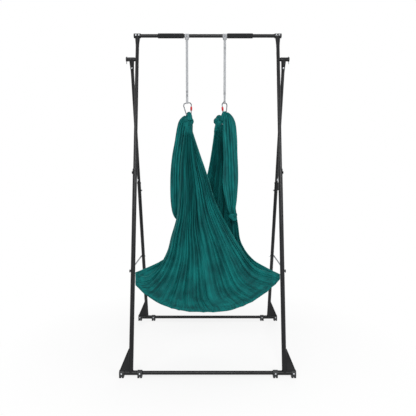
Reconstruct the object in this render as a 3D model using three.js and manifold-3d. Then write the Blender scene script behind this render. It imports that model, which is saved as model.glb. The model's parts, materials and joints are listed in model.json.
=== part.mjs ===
// Foldable aerial rig: two hinged tube frames, a pull-up bar and a hanging sling.
// X is to the right, Y to the back and Z up. The origin is on the floor, in the middle of the footprint.
import * as THREE from 'three';
import Module from 'manifold-3d';
import { mergeVertices } from 'three/addons/utils/BufferGeometryUtils.js';

const wasm = await Module();
wasm.setup();

// Driving sizes of the stand, in millimetres
const barHeight = 2936;
const barSetback = 648;
const footprintDepth = 1366;
const frontHalfSpacing = 640;
const rearStep = 50;
const hingeDrop = 220;
const baseAxisHeight = 38;
const seatGap = 0.3;
const cutOverrun = 5;

// Tubes
const baseRadius = 19;
const baseMiddleRadius = 16;
const frontLowerRadius = 19;
const frontUpperRadius = 16;
const rearLowerRadius = 17.5;
const rearUpperRadius = 15;
const barRadius = 16;
const tubeWall = 2;
const lipRise = 2;
const lipHeight = 16;
const frontJointRun = 1732;
const rearJointRun = 1612;
const tubeOverlap = 130;
const baseOverlap = 84;

// Corner of a base: tube end, two feet and a gusset
const cornerOverhang = 96;
const cornerInnerReach = 94;
const footWidth = 38;
const footDepth = 44;
const footRingRadius = 23.5;
const footEndWall = 3;
const footNotchWidth = 6;
const footNotchHeight = 12;
const gussetHeight = 196;
const gussetEndMargin = 5;
const gussetToeHeight = 27;
const gussetCrestWidth = 3;
const gussetThickness = 26;
const gussetRim = 7;
const gussetRecess = 9;

// Bracket that holds the top bar
const sleeveRadius = 21;
const sleeveHalfLength = 31;
const neckHalfWidth = 23.5;
const neckHalfDepth = 17;
const neckDrop = 105;
const spigotLength = 60;
const capFlange = 3.5;
const capPlugLength = 20;

// Grips on the top bar, from the middle of the stand
const gripRadius = 22;
const leftGripStart = -454;
const leftGripEnd = -219;
const rightGripStart = 179;
const rightGripEnd = 412;

// Hinge between the two frames
const axleRadius = 12;
const shoulderRadius = 16.5;
const shoulderEnd = 21;
const barrelRadius = 18;
const barrelOuterReach = 37.7;
const collarRadius = 20;
const collarWidth = 13;
const collarPinRadius = 3;
const collarPinTail = 24;
const barrelNeckHalfWidth = 22;
const barrelNeckHalfDepth = 16;
const barrelNeckDrop = 120;

// Knobs, pins and bolts
const shankRadius = 4;
const jointKnobRadius = 14;
const jointKnobHeight = 9;
const jointKnobDrop = 32;
const knobLobes = 6;
const knobLobeShare = 0.12;
const pinHeadRadius = 6.5;
const pinHeadLength = 12;
const pinBossRadius = 8;
const pinBossLength = 6;
const pinDrop = 86;

// Side stay between a rear leg and an upright
const stayBoltHeight = 787;
const stayKnobHeight = 859;
const stayWidth = 18;
const stayThickness = 3;
const stayWasher = 2.5;
const stayFrontGap = 0.7;
const staySkewGap = 0.6;
const stayKnobRadius = 15;
const stayKnobThickness = 7;
const boltHeadRadius = 7.5;
const boltHeadHeight = 5.5;
const boltNutReach = 14;
const hookMouthAngle = 59 * Math.PI / 180;
const hookMouthGap = 0.6;

// Straps and carabiners
const strapHalfWidth = 11;
const strapThickness = 5;
const hitchRadius = 21;
const hitchHalfWidth = 20;
const hitchKnotDrop = 42;
const hitchKnotHalfDepth = 12;
const strapDrop = 603;
const eyeWall = 3.5;
const eyeHalfWidth = 8;
const wireRadius = 5;
const carabinerTopHalf = 14;
const carabinerHalfWidth = 35;
const carabinerFootHalf = 25;
const carabinerShoulder = 24;
const carabinerHeel = 88;
const carabinerLength = 112;
const gateRadius = 4.5;
const gateNoseGap = 0.5;
const gateTabLength = 5;
const lockSleeveRadius = 7.5;
const lockSleeveLength = 36;
const leftStrapX = -190;
const rightStrapX = 157;
const leftCarabinerTilt = 8 * Math.PI / 180;
const rightCarabinerTurn = 50 * Math.PI / 180;

// Hammock cloth
const clothThickness = 4;
const clothDepth = 105;
const pleatDepth = 17;
const clothSideClearance = 5.5;
const clothFreeSpan = 697;
const pullDistance = 4249;
const pullHeight = 1780;
const clothBottomHeight = 337;
const leftTipHeight = 730;
const leftTipRise = 267;
const rightTipHeight = 712;
const rightTipRise = 323;
const leftGatherX = -178;
const rightGatherX = 104;
const gatherHalfWidth = 34;
const knotHalfWidth = 43;
const knotHalfDepth = 38;
const knotHalfHeight = 66;
const rightKnotX = 102;
const rightKnotDrop = 58;
const bundleHalfWidth = 18;
const bundleHalfDepth = 15;
const bundleHalfHeight = 24;
const lobeHalfDepth = 24;
const lobeSetback = 54;
const lobeReach = 1000;
const tieKnotRadius = 36;
const pleats = 5;
const clothColumns = 22;
const clothRows = 12;

// Counts of sides round each kind of piece
const tubeSides = 20;
const smallSides = 10;
const softSides = 10;
const wireSteps = 36;
const wireQuarterSides = 2;

// Places worked out from the driving sizes
const frontY = -footprintDepth / 2;
const rearY = footprintDepth / 2;
const barY = frontY + barSetback;
const rearHalfSpacing = frontHalfSpacing + rearStep;
const hingeHeight = barHeight - hingeDrop;
const axleReach = rearStep + barrelOuterReach + seatGap + collarWidth;
const barRise = barHeight - baseAxisHeight;
const hingeRise = hingeHeight - baseAxisHeight;
const frontLean = Math.atan2(barSetback, barRise);
const uprightRun = Math.hypot(barSetback, barRise);
const hingeRun = hingeRise / Math.cos(frontLean);
const hingeY = frontY + hingeRise * Math.tan(frontLean);
const rearLean = Math.atan2(rearY - hingeY, hingeRise);
const rearRun = Math.hypot(rearY - hingeY, hingeRise);
const carabinerTop = barHeight - strapDrop;
const leftFootX = leftStrapX + Math.sin(leftCarabinerTilt) * carabinerLength;
const leftFootHeight = carabinerTop - Math.cos(leftCarabinerTilt) * carabinerLength;
const rightFootHeight = carabinerTop - carabinerLength;
const rightKnotHeight = rightFootHeight - rightKnotDrop;
const clothHalfSpan = rearHalfSpacing - rearLowerRadius - boltNutReach - clothSideClearance;
const tipCurl = pullDistance * (1 - clothHalfSpan / clothFreeSpan);
const leftKnotHeight = leftFootHeight - knotHalfHeight - bundleHalfHeight / 2;
const lumpEndShare = 0.97;
const leftGatherHeight = leftKnotHeight - knotHalfHeight * lumpEndShare - seatGap;
const rightGatherHeight = rightKnotHeight - knotHalfWidth * lumpEndShare - seatGap;

// Finishes
const finishes = {
  blackPaint: new THREE.MeshStandardMaterial({ color: 0x26282b, roughness: 0.42, metalness: 0.3 }),
  blackPlastic: new THREE.MeshStandardMaterial({ color: 0x17181a, roughness: 0.6, metalness: 0 }),
  blackFoam: new THREE.MeshStandardMaterial({ color: 0x141516, roughness: 0.9, metalness: 0 }),
  zincSteel: new THREE.MeshStandardMaterial({ color: 0xb9bcbf, roughness: 0.3, metalness: 0.9 }),
  greySteel: new THREE.MeshStandardMaterial({ color: 0x77797c, roughness: 0.45, metalness: 0.7 }),
  redAnodised: new THREE.MeshStandardMaterial({ color: 0xc41524, roughness: 0.3, metalness: 0.6 }),
  greyWebbing: new THREE.MeshStandardMaterial({ color: 0xa3a4a6, roughness: 0.9, metalness: 0 }),
  tealCloth: new THREE.MeshStandardMaterial({ color: 0x15625c, roughness: 0.75, metalness: 0 }),
};

// A closed three.js geometry as a solid whose faces point out
function solidOf(geometry) {
  const plain = geometry.clone();
  plain.deleteAttribute('normal');
  plain.deleteAttribute('uv');
  const merged = mergeVertices(plain);
  const corners = merged.attributes.position;
  const index = Uint32Array.from(merged.index.array);
  const a = new THREE.Vector3();
  const b = new THREE.Vector3();
  const c = new THREE.Vector3();
  let volume = 0;
  for (let i = 0; i < index.length; i += 3) {
    a.fromBufferAttribute(corners, index[i]);
    b.fromBufferAttribute(corners, index[i + 1]);
    c.fromBufferAttribute(corners, index[i + 2]);
    volume += a.dot(b.cross(c));
  }
  if (volume < 0) {
    for (let i = 0; i < index.length; i += 3) {
      [index[i + 1], index[i + 2]] = [index[i + 2], index[i + 1]];
    }
  }
  return new wasm.Manifold(new wasm.Mesh({
    numProp: 3,
    vertProperties: Float32Array.from(corners.array),
    triVerts: index,
  }));
}

// A solid as a three.js geometry
function geometryOf(solid) {
  const mesh = solid.getMesh();
  const geometry = new THREE.BufferGeometry();
  geometry.setAttribute('position', new THREE.BufferAttribute(mesh.vertProperties, 3));
  geometry.setIndex(new THREE.BufferAttribute(mesh.triVerts, 1));
  geometry.computeVertexNormals();
  return geometry;
}

// The first solid with the others added, or with the others cut away
const joined = (first, ...others) => others.reduce((whole, piece) => whole.add(piece), first);
const trimmed = (first, ...others) => others.reduce((whole, piece) => whole.subtract(piece), first);

// A turned shape from [radius, height] pairs, round the Z axis
function turned(profile, sides = tubeSides) {
  const points = profile.map(([radius, height]) => new THREE.Vector2(radius, height));
  const geometry = new THREE.LatheGeometry(points, sides);
  geometry.rotateX(Math.PI / 2);
  return solidOf(geometry);
}

// A round rod along Z from one height to another
const rod = (radius, from, to, sides = tubeSides) =>
  turned([[0, from], [radius, from], [radius, to], [0, to]], sides);

// A round tube along Z from one height to another
const tube = (radius, bore, from, to, sides = tubeSides) =>
  turned([[bore, from], [radius, from], [radius, to], [bore, to], [bore, from]], sides);

// A solid turned so that its Z axis lies along X, to the outside of the given side
const alongX = (solid, side = 1) => solid.rotate([0, side * 90, 0]);

// A block between two corners
function block(low, high) {
  const size = high.map((value, axis) => value - low[axis]);
  const geometry = new THREE.BoxGeometry(...size);
  geometry.translate(...high.map((value, axis) => (value + low[axis]) / 2));
  return solidOf(geometry);
}

// A flat outline in X and Z, given thickness along Y, centred on the plane
function plate(points, thickness) {
  const shape = new THREE.Shape(points.map(([x, z]) => new THREE.Vector2(x, z)));
  const geometry = new THREE.ExtrudeGeometry(shape, { depth: thickness, bevelEnabled: false });
  geometry.translate(0, 0, -thickness / 2);
  geometry.rotateX(Math.PI / 2);
  return solidOf(geometry);
}

// A stack of closed rings of points, joined side to side and closed at both ends
function lofted(rings) {
  const sides = rings[0].length;
  const positions = rings.flat().flatMap((point) => point.toArray());
  const total = (ring) => ring.reduce((sum, point) => sum.add(point), new THREE.Vector3());
  const middle = (ring) => total(ring).divideScalar(sides);
  positions.push(...middle(rings[0]).toArray(), ...middle(rings[rings.length - 1]).toArray());
  const index = [];
  for (let row = 0; row < rings.length - 1; row += 1) {
    for (let side = 0; side < sides; side += 1) {
      const next = (side + 1) % sides;
      const low = row * sides;
      const high = low + sides;
      index.push(low + side, low + next, high + next, low + side, high + next, high + side);
    }
  }
  const firstMiddle = rings.length * sides;
  const lastRing = firstMiddle - sides;
  for (let side = 0; side < sides; side += 1) {
    const next = (side + 1) % sides;
    index.push(firstMiddle, next, side, firstMiddle + 1, lastRing + side, lastRing + next);
  }
  const geometry = new THREE.BufferGeometry();
  geometry.setAttribute('position', new THREE.Float32BufferAttribute(positions, 3));
  geometry.setIndex(index);
  return solidOf(geometry);
}

// An upright ring of points, as wide and deep as given, round a centre
function ovalRing(centre, halfWidth, halfDepth, sides, wave = () => 1) {
  return Array.from({ length: sides }, (_, step) => {
    const angle = step / sides * 2 * Math.PI;
    const reach = wave(angle);
    return new THREE.Vector3(
      centre[0] + halfWidth * reach * Math.sin(angle),
      centre[1] + halfDepth * reach * Math.cos(angle),
      centre[2],
    );
  });
}

const part = new THREE.Group();

// Hangs a piece in a group under its name
function add(group, name, solid, finish) {
  const mesh = new THREE.Mesh(geometryOf(solid), finish);
  mesh.name = name;
  group.add(mesh);
  return mesh;
}

// A group that stands at a point and leans about X
function leaningGroup(x, y, z, lean) {
  const group = new THREE.Group();
  group.position.set(x, y, z);
  group.rotation.x = lean;
  part.add(group);
  return group;
}

// A neck that flattens from a round tube below to a wide oval under a crosswise sleeve
function neck(tubeRadius, halfWidth, halfDepth, drop) {
  const easeShares = [0, 0.12, 0.3, 0.55, 0.8, 1];
  const rings = easeShares.map((share) => {
    const ease = share * share * (3 - 2 * share);
    const width = THREE.MathUtils.lerp(tubeRadius, halfWidth, ease);
    const depth = THREE.MathUtils.lerp(tubeRadius, halfDepth, ease);
    return ovalRing([0, 0, -drop * (1 - share)], width, depth, tubeSides);
  });
  return lofted(rings);
}

// A hand knob along Z with lobes round its rim and a rounded outer edge
function knob(radius, height, sides) {
  const wave = (angle) => 1 - knobLobeShare * (0.5 + 0.5 * Math.cos(knobLobes * angle));
  const edgeShares = [[0, 0.8], [0.2, 1], [0.75, 1], [1, 0.72]];
  return lofted(edgeShares.map(([rise, reach]) =>
    ovalRing([0, 0, height * rise], radius * reach, radius * reach, sides, wave)));
}

// One foot: a ring round the base tube on a pad that rests on the floor
function foot(outer, side) {
  const half = footWidth / 2;
  const ring = alongX(rod(footRingRadius, -half, half));
  const pad = block([-half, -footDepth / 2, -baseAxisHeight], [half, footDepth / 2, 0]);
  const boreStart = -half - cutOverrun;
  const boreEnd = outer ? half - footEndWall : half + cutOverrun;
  const bore = alongX(rod(baseRadius + seatGap, boreStart, boreEnd), side);
  const notch = block(
    [-footNotchWidth / 2, -footDepth / 2 - cutOverrun, -baseAxisHeight - cutOverrun],
    [footNotchWidth / 2, footDepth / 2 + cutOverrun, footNotchHeight - baseAxisHeight],
  );
  return trimmed(joined(ring, pad), bore, notch);
}

// A gusset in the plane of a leg and its base, seated on both tubes and on the outer foot
function gusset(legRadius, side) {
  const reach = cornerOverhang - gussetEndMargin;
  const crest = legRadius + gussetCrestWidth;
  const outline = [[0, 0], [side * reach, 0], [side * reach, gussetToeHeight], [side * crest, gussetHeight],
    [0, gussetHeight]];
  const body = plate(outline, gussetThickness);
  const slope = new THREE.Vector2(reach - crest, gussetHeight - gussetToeHeight).normalize();
  const rimAcross = gussetRim / slope.y;
  const lowEdge = baseRadius + gussetRim;
  const innerEdge = legRadius + gussetRim;
  const lineX = (z) => reach - rimAcross - (z - gussetToeHeight) * slope.x / slope.y;
  const topZ = gussetToeHeight + (reach - rimAcross - innerEdge) * slope.y / slope.x;
  const hollow = [[side * innerEdge, lowEdge], [side * lineX(lowEdge), lowEdge], [side * innerEdge, topZ]];
  const recess = plate(hollow, gussetRecess);
  const faceShift = gussetThickness / 2;
  const footInner = cornerOverhang - footWidth - seatGap;
  return trimmed(
    body,
    recess.translate([0, faceShift, 0]),
    recess.translate([0, -faceShift, 0]),
    rod(legRadius + seatGap, -cutOverrun, gussetHeight + cutOverrun),
    alongX(rod(baseRadius + seatGap, -cutOverrun, cornerOverhang + cutOverrun), side),
    alongX(rod(footRingRadius + seatGap, footInner, cornerOverhang + cutOverrun), side),
  );
}

// The lower tube of a leg: saddled on the base tube, lipped at its top, with holes for its fittings
function lowerTube(radius, bore, run, holes) {
  const body = tube(radius, bore, 0, run);
  const lip = tube(radius + lipRise, bore, run - lipHeight, run);
  const saddle = alongX(rod(baseRadius + seatGap, -radius - cutOverrun, radius + cutOverrun));
  return trimmed(joined(body, lip), saddle, ...holes);
}

// A crosswise hole through a tube, along X, at a run up the tube
const crossHole = (run, from, to) =>
  alongX(rod(shankRadius + seatGap, from, to, smallSides)).translate([0, 0, run]);

// A base: middle tube, two ends, four feet and two gussets
function addBase(end, y, halfSpacing, lean, legRadius) {
  const middleEnd = halfSpacing - cornerInnerReach + baseOverlap;
  const middle = leaningGroup(0, y, baseAxisHeight, 0);
  const middleSolid = alongX(tube(baseMiddleRadius, baseMiddleRadius - tubeWall, -middleEnd, middleEnd));
  add(middle, `${end}_base_middle_tube`, middleSolid, finishes.blackPaint);
  for (const [hand, side] of [['left', -1], ['right', 1]]) {
    const corner = leaningGroup(side * halfSpacing, y, baseAxisHeight, 0);
    const tubeEnd = cornerOverhang - footEndWall - seatGap;
    const endSolid = tube(baseRadius, baseMiddleRadius + seatGap, -cornerInnerReach, tubeEnd);
    add(corner, `${end}_base_end_${hand}`, alongX(endSolid, side), finishes.blackPaint);
    const outerX = side * (cornerOverhang - footWidth / 2);
    const innerX = -side * (cornerInnerReach - footWidth / 2);
    const outerFoot = foot(true, side).translate([outerX, 0, 0]);
    add(corner, `${end}_foot_outer_${hand}`, outerFoot, finishes.blackPlastic);
    const innerFoot = foot(false, side).translate([innerX, 0, 0]);
    add(corner, `${end}_foot_inner_${hand}`, innerFoot, finishes.blackPlastic);
    const leaning = leaningGroup(side * halfSpacing, y, baseAxisHeight, lean);
    add(leaning, `${end}_gusset_${hand}`, gusset(legRadius, side), finishes.blackPaint);
  }
}

// The front frame's uprights with all that is fixed to them
function addUprights() {
  const knobRun = frontJointRun - jointKnobDrop;
  const stayKnobRun = (stayKnobHeight - baseAxisHeight) / Math.cos(frontLean);
  for (const [hand, side] of [['left', -1], ['right', 1]]) {
    const group = leaningGroup(side * frontHalfSpacing, frontY, baseAxisHeight, -frontLean);
    const outward = (solid, run) => alongX(solid, side).translate([0, 0, run]);
    const bore = frontUpperRadius + seatGap;
    const holes = [
      outward(rod(shankRadius + seatGap, 0, frontLowerRadius + cutOverrun, smallSides), knobRun),
      outward(rod(shankRadius + seatGap, 0, frontLowerRadius + cutOverrun, smallSides), stayKnobRun),
    ];
    const lower = lowerTube(frontLowerRadius, bore, frontJointRun, holes);
    add(group, `front_upright_lower_${hand}`, lower, finishes.blackPaint);

    const upperTop = uprightRun - neckDrop - seatGap;
    const upperBore = frontUpperRadius - tubeWall;
    const pinHoleRod = rod(shankRadius + seatGap, 0, frontUpperRadius + cutOverrun, smallSides);
    const pinHole = outward(pinHoleRod, knobRun);
    const upper = tube(frontUpperRadius, upperBore, frontJointRun - tubeOverlap, upperTop);
    add(group, `front_upright_upper_${hand}`, trimmed(upper, pinHole), finishes.blackPaint);

    const sleeve = alongX(rod(sleeveRadius, -sleeveHalfLength, sleeveHalfLength));
    const collar = neck(frontUpperRadius, neckHalfWidth, neckHalfDepth, neckDrop);
    const spigot = rod(upperBore - seatGap, -neckDrop - spigotLength, -neckDrop);
    const barBoreHalf = sleeveHalfLength + cutOverrun;
    const barBore = alongX(rod(barRadius + seatGap, -barBoreHalf, barBoreHalf));
    const bracket = trimmed(joined(sleeve, collar, spigot), barBore).translate([0, 0, uprightRun]);
    add(group, `top_bracket_${hand}`, bracket, finishes.blackPaint);

    const shankStart = frontUpperRadius - tubeWall;
    const shank = rod(shankRadius, shankStart, frontLowerRadius + lipRise + seatGap, smallSides);
    const head = knob(jointKnobRadius, jointKnobHeight, 2 * smallSides)
      .translate([0, 0, frontLowerRadius + seatGap]);
    add(group, `upright_knob_${hand}`, outward(joined(shank, head), knobRun), finishes.blackPlastic);

    const stayBar = frontLowerRadius + stayFrontGap + stayThickness;
    const studEnd = stayBar + staySkewGap + stayKnobThickness / 2;
    const stud = rod(shankRadius, frontLowerRadius - tubeWall, studEnd, smallSides);
    const headStart = stayBar + staySkewGap + seatGap;
    const stayHead = knob(stayKnobRadius, stayKnobThickness, 2 * smallSides).translate([0, 0, headStart]);
    add(group, `stay_knob_${hand}`, outward(joined(stud, stayHead), stayKnobRun), finishes.blackPlastic);

    const axle = rod(axleRadius, 0, axleReach);
    const shoulder = rod(shoulderRadius, 0, shoulderEnd);
    const uprightReach = axleRadius + shoulderRadius;
    const upright = rod(frontUpperRadius + seatGap, -uprightReach, uprightReach);
    const pinCross = collarPinRadius + seatGap;
    const pinX = side * (axleReach - collarWidth / 2);
    const pinBore = rod(pinCross, -axleRadius - cutOverrun, axleRadius + cutOverrun, smallSides)
      .translate([pinX, 0, 0]);
    const stub = trimmed(alongX(joined(axle, shoulder), side), upright, pinBore);
    add(group, `hinge_axle_${hand}`, stub.translate([0, 0, hingeRun]), finishes.blackPaint);

    const ring = tube(collarRadius, axleRadius + seatGap, axleReach - collarWidth, axleReach);
    const pin = rod(collarPinRadius, -collarRadius - collarPinTail, collarRadius, smallSides)
      .translate([pinX, 0, 0]);
    const collarSolid = joined(alongX(ring, side), pin).translate([0, 0, hingeRun]);
    add(group, `hinge_collar_${hand}`, collarSolid, finishes.zincSteel);
  }
}

// The top bar with its caps and grips
function addBar() {
  const group = leaningGroup(0, barY, barHeight, -frontLean);
  const end = frontHalfSpacing + sleeveHalfLength;
  const bore = barRadius - tubeWall;
  add(group, 'top_bar', alongX(tube(barRadius, bore, -end, end)), finishes.blackPaint);
  for (const [hand, side] of [['left', -1], ['right', 1]]) {
    const flange = rod(sleeveRadius, end + seatGap, end + seatGap + capFlange);
    const plug = rod(bore - seatGap, end - capPlugLength, end + seatGap + capFlange);
    add(group, `top_bar_cap_${hand}`, alongX(joined(flange, plug), side), finishes.blackPlastic);
  }
  const gripTube = (from, to) => alongX(tube(gripRadius, barRadius + seatGap, from, to));
  add(group, 'grip_left', gripTube(leftGripStart, leftGripEnd), finishes.blackFoam);
  add(group, 'grip_right', gripTube(rightGripStart, rightGripEnd), finishes.blackFoam);
}

// The rear frame's legs with their hinge barrels, pins and bolts
function addRearLegs() {
  const pinRun = rearJointRun - pinDrop;
  const boltRun = (stayBoltHeight - baseAxisHeight) / Math.cos(rearLean);
  for (const [hand, side] of [['left', -1], ['right', 1]]) {
    const group = leaningGroup(side * rearHalfSpacing, rearY, baseAxisHeight, rearLean);
    const outward = (solid, run) => alongX(solid, side).translate([0, 0, run]);
    const inward = (solid, run) => alongX(solid, -side).translate([0, 0, run]);
    const bore = rearUpperRadius + seatGap;
    const through = rearLowerRadius + cutOverrun;
    const pinBore = inward(rod(shankRadius + seatGap, 0, through, smallSides), pinRun);
    const boltHole = crossHole(boltRun, -through, through);
    const lower = lowerTube(rearLowerRadius, bore, rearJointRun, [pinBore, boltHole]);
    add(group, `rear_leg_lower_${hand}`, lower, finishes.blackPaint);

    const upperTop = rearRun - barrelNeckDrop - seatGap;
    const upperBore = rearUpperRadius - tubeWall;
    const upper = tube(rearUpperRadius, upperBore, rearJointRun - tubeOverlap, upperTop);
    add(group, `rear_leg_upper_${hand}`, trimmed(upper, pinBore), finishes.blackPaint);

    const innerFace = shoulderEnd + seatGap - rearStep;
    const outerFace = barrelOuterReach;
    const barrel = rod(barrelRadius, innerFace, outerFace);
    const collar = neck(rearUpperRadius, barrelNeckHalfWidth, barrelNeckHalfDepth, barrelNeckDrop);
    const spigot = rod(upperBore - seatGap, -barrelNeckDrop - spigotLength, -barrelNeckDrop);
    const axleBore = rod(axleRadius + seatGap, innerFace - cutOverrun, outerFace + cutOverrun);
    const shoulderRoom = rod(shoulderRadius + seatGap, -rearStep, innerFace);
    const fitting = trimmed(
      joined(alongX(barrel, side), collar, spigot),
      alongX(axleBore, side),
      alongX(shoulderRoom, side),
    );
    add(group, `hinge_barrel_${hand}`, fitting.translate([0, 0, rearRun]), finishes.blackPaint);

    const headStart = rearLowerRadius + seatGap;
    const pinShank = rod(shankRadius, rearUpperRadius - tubeWall, headStart + pinHeadLength, smallSides);
    const boss = rod(pinBossRadius, headStart, headStart + pinBossLength, smallSides);
    const pinHead = rod(pinHeadRadius, headStart, headStart + pinHeadLength, smallSides);
    add(group, `rear_leg_pin_${hand}`, inward(joined(pinShank, boss, pinHead), pinRun), finishes.zincSteel);

    const barFace = rearLowerRadius + stayWasher + stayThickness + staySkewGap;
    const shank = rod(shankRadius, -rearLowerRadius - boltNutReach, barFace + boltHeadHeight, smallSides);
    const washerEnd = rearLowerRadius + stayWasher - staySkewGap;
    const washer = rod(boltHeadRadius, rearLowerRadius + seatGap, washerEnd, smallSides);
    const head = rod(boltHeadRadius, barFace, barFace + boltHeadHeight, smallSides);
    const nutStart = -rearLowerRadius - seatGap;
    const nut = rod(boltHeadRadius, nutStart - boltHeadHeight, nutStart, 6);
    add(group, `stay_bolt_${hand}`, outward(joined(shank, washer, head, nut), boltRun), finishes.zincSteel);
  }
}

// A side stay: a flat bar hinged on the rear leg's bolt and hooked over the upright's stud
function addStays() {
  const run = (height, lean) => (height - baseAxisHeight) * Math.tan(lean);
  for (const [hand, side] of [['left', -1], ['right', 1]]) {
    const rearX = rearHalfSpacing + rearLowerRadius + stayWasher + stayThickness / 2;
    const frontX = frontHalfSpacing + frontLowerRadius + stayFrontGap + stayThickness / 2;
    const rearEnd = new THREE.Vector3(side * rearX, rearY - run(stayBoltHeight, rearLean), stayBoltHeight);
    const frontEnd = new THREE.Vector3(side * frontX, frontY + run(stayKnobHeight, frontLean), stayKnobHeight);
    const length = rearEnd.distanceTo(frontEnd);
    const half = stayWidth / 2;
    const outline = [[-half, -half], [length + half, -half], [length + half, half], [-half, half]];
    const corner = half / 3;
    const cornerCut = (x, z) => plate([[x - corner, z], [x, z - corner], [x + corner, z], [x, z + corner]],
      stayThickness + 2 * cutOverrun);
    const boltHole = rod(shankRadius + seatGap, -cutOverrun, cutOverrun, smallSides).rotate([90, 0, 0]);
    const slotHalf = shankRadius + hookMouthGap;
    const seat = rod(slotHalf, -cutOverrun, cutOverrun, smallSides).rotate([90, 0, 0]).translate([length, 0, 0]);
    const mouth = block([0, -cutOverrun, -slotHalf], [stayWidth, cutOverrun, slotHalf])
      .rotate([0, 180 - hookMouthAngle * 180 / Math.PI, 0]).translate([length, 0, 0]);
    const bar = trimmed(
      plate(outline, stayThickness),
      boltHole,
      seat,
      mouth,
      cornerCut(-half, -half),
      cornerCut(-half, half),
      cornerCut(length + half, half),
      cornerCut(length + half, -half),
    );
    const forward = frontEnd.clone().sub(rearEnd).normalize();
    const across = new THREE.Vector3(0, 0, 1).cross(forward).normalize();
    const up = forward.clone().cross(across).normalize();
    const mesh = add(part, `side_stay_${hand}`, bar, finishes.greySteel);
    mesh.setRotationFromMatrix(new THREE.Matrix4().makeBasis(forward, across, up));
    mesh.position.copy(rearEnd);
  }
}

// The wire of a carabiner in its own plane, from the gate's nose round the spine to the gate's heel
function carabinerWire(gateSide, radius) {
  const at = (x, z) => new THREE.Vector3(gateSide * x, 0, z);
  const nose = at(carabinerHalfWidth, -carabinerShoulder);
  const heel = at(carabinerFootHalf, -carabinerHeel);
  const along = nose.clone().sub(heel).normalize();
  const noseTab = nose.clone().addScaledVector(along, gateTabLength);
  const heelTab = heel.clone().addScaledVector(along, -gateTabLength);
  const path = new THREE.CurvePath();
  const line = (from, to) => path.add(new THREE.LineCurve3(from, to));
  const bend = (from, middle, to) => path.add(new THREE.QuadraticBezierCurve3(from, middle, to));
  const topGate = at(carabinerTopHalf, 0);
  const topSpine = at(-carabinerTopHalf, 0);
  const spineTop = at(-carabinerHalfWidth, -carabinerShoulder);
  const spineFoot = at(-carabinerFootHalf, -carabinerHeel);
  const bottom = at(0, -carabinerLength);
  line(nose, noseTab);
  bend(noseTab, at(carabinerHalfWidth - wireRadius / 2, 0), topGate);
  line(topGate, topSpine);
  bend(topSpine, at(-carabinerHalfWidth, 0), spineTop);
  line(spineTop, spineFoot);
  bend(spineFoot, at(wireRadius - carabinerFootHalf, -carabinerLength), bottom);
  bend(bottom, at(carabinerFootHalf - wireRadius, -carabinerLength), heelTab);
  line(heelTab, heel);
  const section = new THREE.Shape();
  section.absarc(0, 0, radius, 0, 2 * Math.PI);
  const geometry = new THREE.ExtrudeGeometry(section, {
    steps: wireSteps,
    curveSegments: 2 * wireQuarterSides,
    extrudePath: path,
  });
  return solidOf(geometry);
}

// The gate of a carabiner along Z, round-ended at its hinge, with a length from heel to nose
function gateRod(length) {
  const hingeEnd = gateRadius + seatGap;
  const roundShares = [0, 0.25, 0.5, 0.75, 1];
  const profile = roundShares.map((share) => {
    const angle = share * Math.PI / 2;
    return [gateRadius * Math.sin(angle), hingeEnd - gateRadius * Math.cos(angle)];
  });
  return turned([...profile, [gateRadius, length - gateNoseGap], [0, length - gateNoseGap]], smallSides);
}

// A strap, its carabiner, gate and lock sleeve on one side of the sling
function addHanger(hand, x, gateSide, turn, tilt) {
  const group = leaningGroup(x, barY, barHeight, 0);
  const carabinerGroup = new THREE.Group();
  carabinerGroup.position.set(0, 0, -strapDrop);
  carabinerGroup.rotation.set(0, tilt, turn, 'ZYX');
  group.add(carabinerGroup);

  const degrees = 180 / Math.PI;
  const hitch = alongX(rod(hitchRadius, -hitchHalfWidth, hitchHalfWidth));
  const lump = lofted([
    ovalRing([0, 0, -hitchKnotDrop], strapHalfWidth, strapThickness, softSides),
    ovalRing([0, 0, -hitchRadius], hitchHalfWidth * 0.8, hitchKnotHalfDepth, softSides),
    ovalRing([0, 0, -barRadius], hitchHalfWidth * 0.8, hitchKnotHalfDepth, softSides),
  ]);
  const eyeRadius = wireRadius + seatGap + eyeWall;
  const slab = block(
    [-strapHalfWidth, -strapThickness / 2, -strapDrop + eyeRadius - eyeWall / 2],
    [strapHalfWidth, strapThickness / 2, -barRadius],
  );
  const place = (solid) => alongX(solid).rotate([0, tilt * degrees, 0]).rotate([0, 0, turn * degrees])
    .translate([0, 0, -strapDrop]);
  const eye = place(rod(eyeRadius, -eyeHalfWidth, eyeHalfWidth));
  const eyeBore = place(rod(wireRadius + seatGap, -strapHalfWidth - cutOverrun, strapHalfWidth + cutOverrun));
  const barBore = alongX(rod(barRadius + seatGap, -hitchHalfWidth - cutOverrun, hitchHalfWidth + cutOverrun));
  const strap = trimmed(joined(hitch, lump, slab, eye), eyeBore, barBore);
  add(group, `strap_${hand}`, strap, finishes.greyWebbing);

  add(carabinerGroup, `carabiner_${hand}`, carabinerWire(gateSide, wireRadius), finishes.zincSteel);
  const heel = new THREE.Vector3(gateSide * carabinerFootHalf, 0, -carabinerHeel);
  const nose = new THREE.Vector3(gateSide * carabinerHalfWidth, 0, -carabinerShoulder);
  const length = heel.distanceTo(nose);
  const gateGroup = new THREE.Group();
  gateGroup.position.copy(heel);
  gateGroup.rotation.y = Math.atan2(nose.x - heel.x, nose.z - heel.z);
  carabinerGroup.add(gateGroup);
  add(gateGroup, `carabiner_gate_${hand}`, gateRod(length), finishes.zincSteel);
  const sleeveStart = (length - lockSleeveLength) / 2;
  const sleeveEnd = sleeveStart + lockSleeveLength;
  const sleeve = tube(lockSleeveRadius, gateRadius + seatGap, sleeveStart, sleeveEnd, smallSides);
  add(gateGroup, `lock_sleeve_${hand}`, sleeve, finishes.redAnodised);
}

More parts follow.
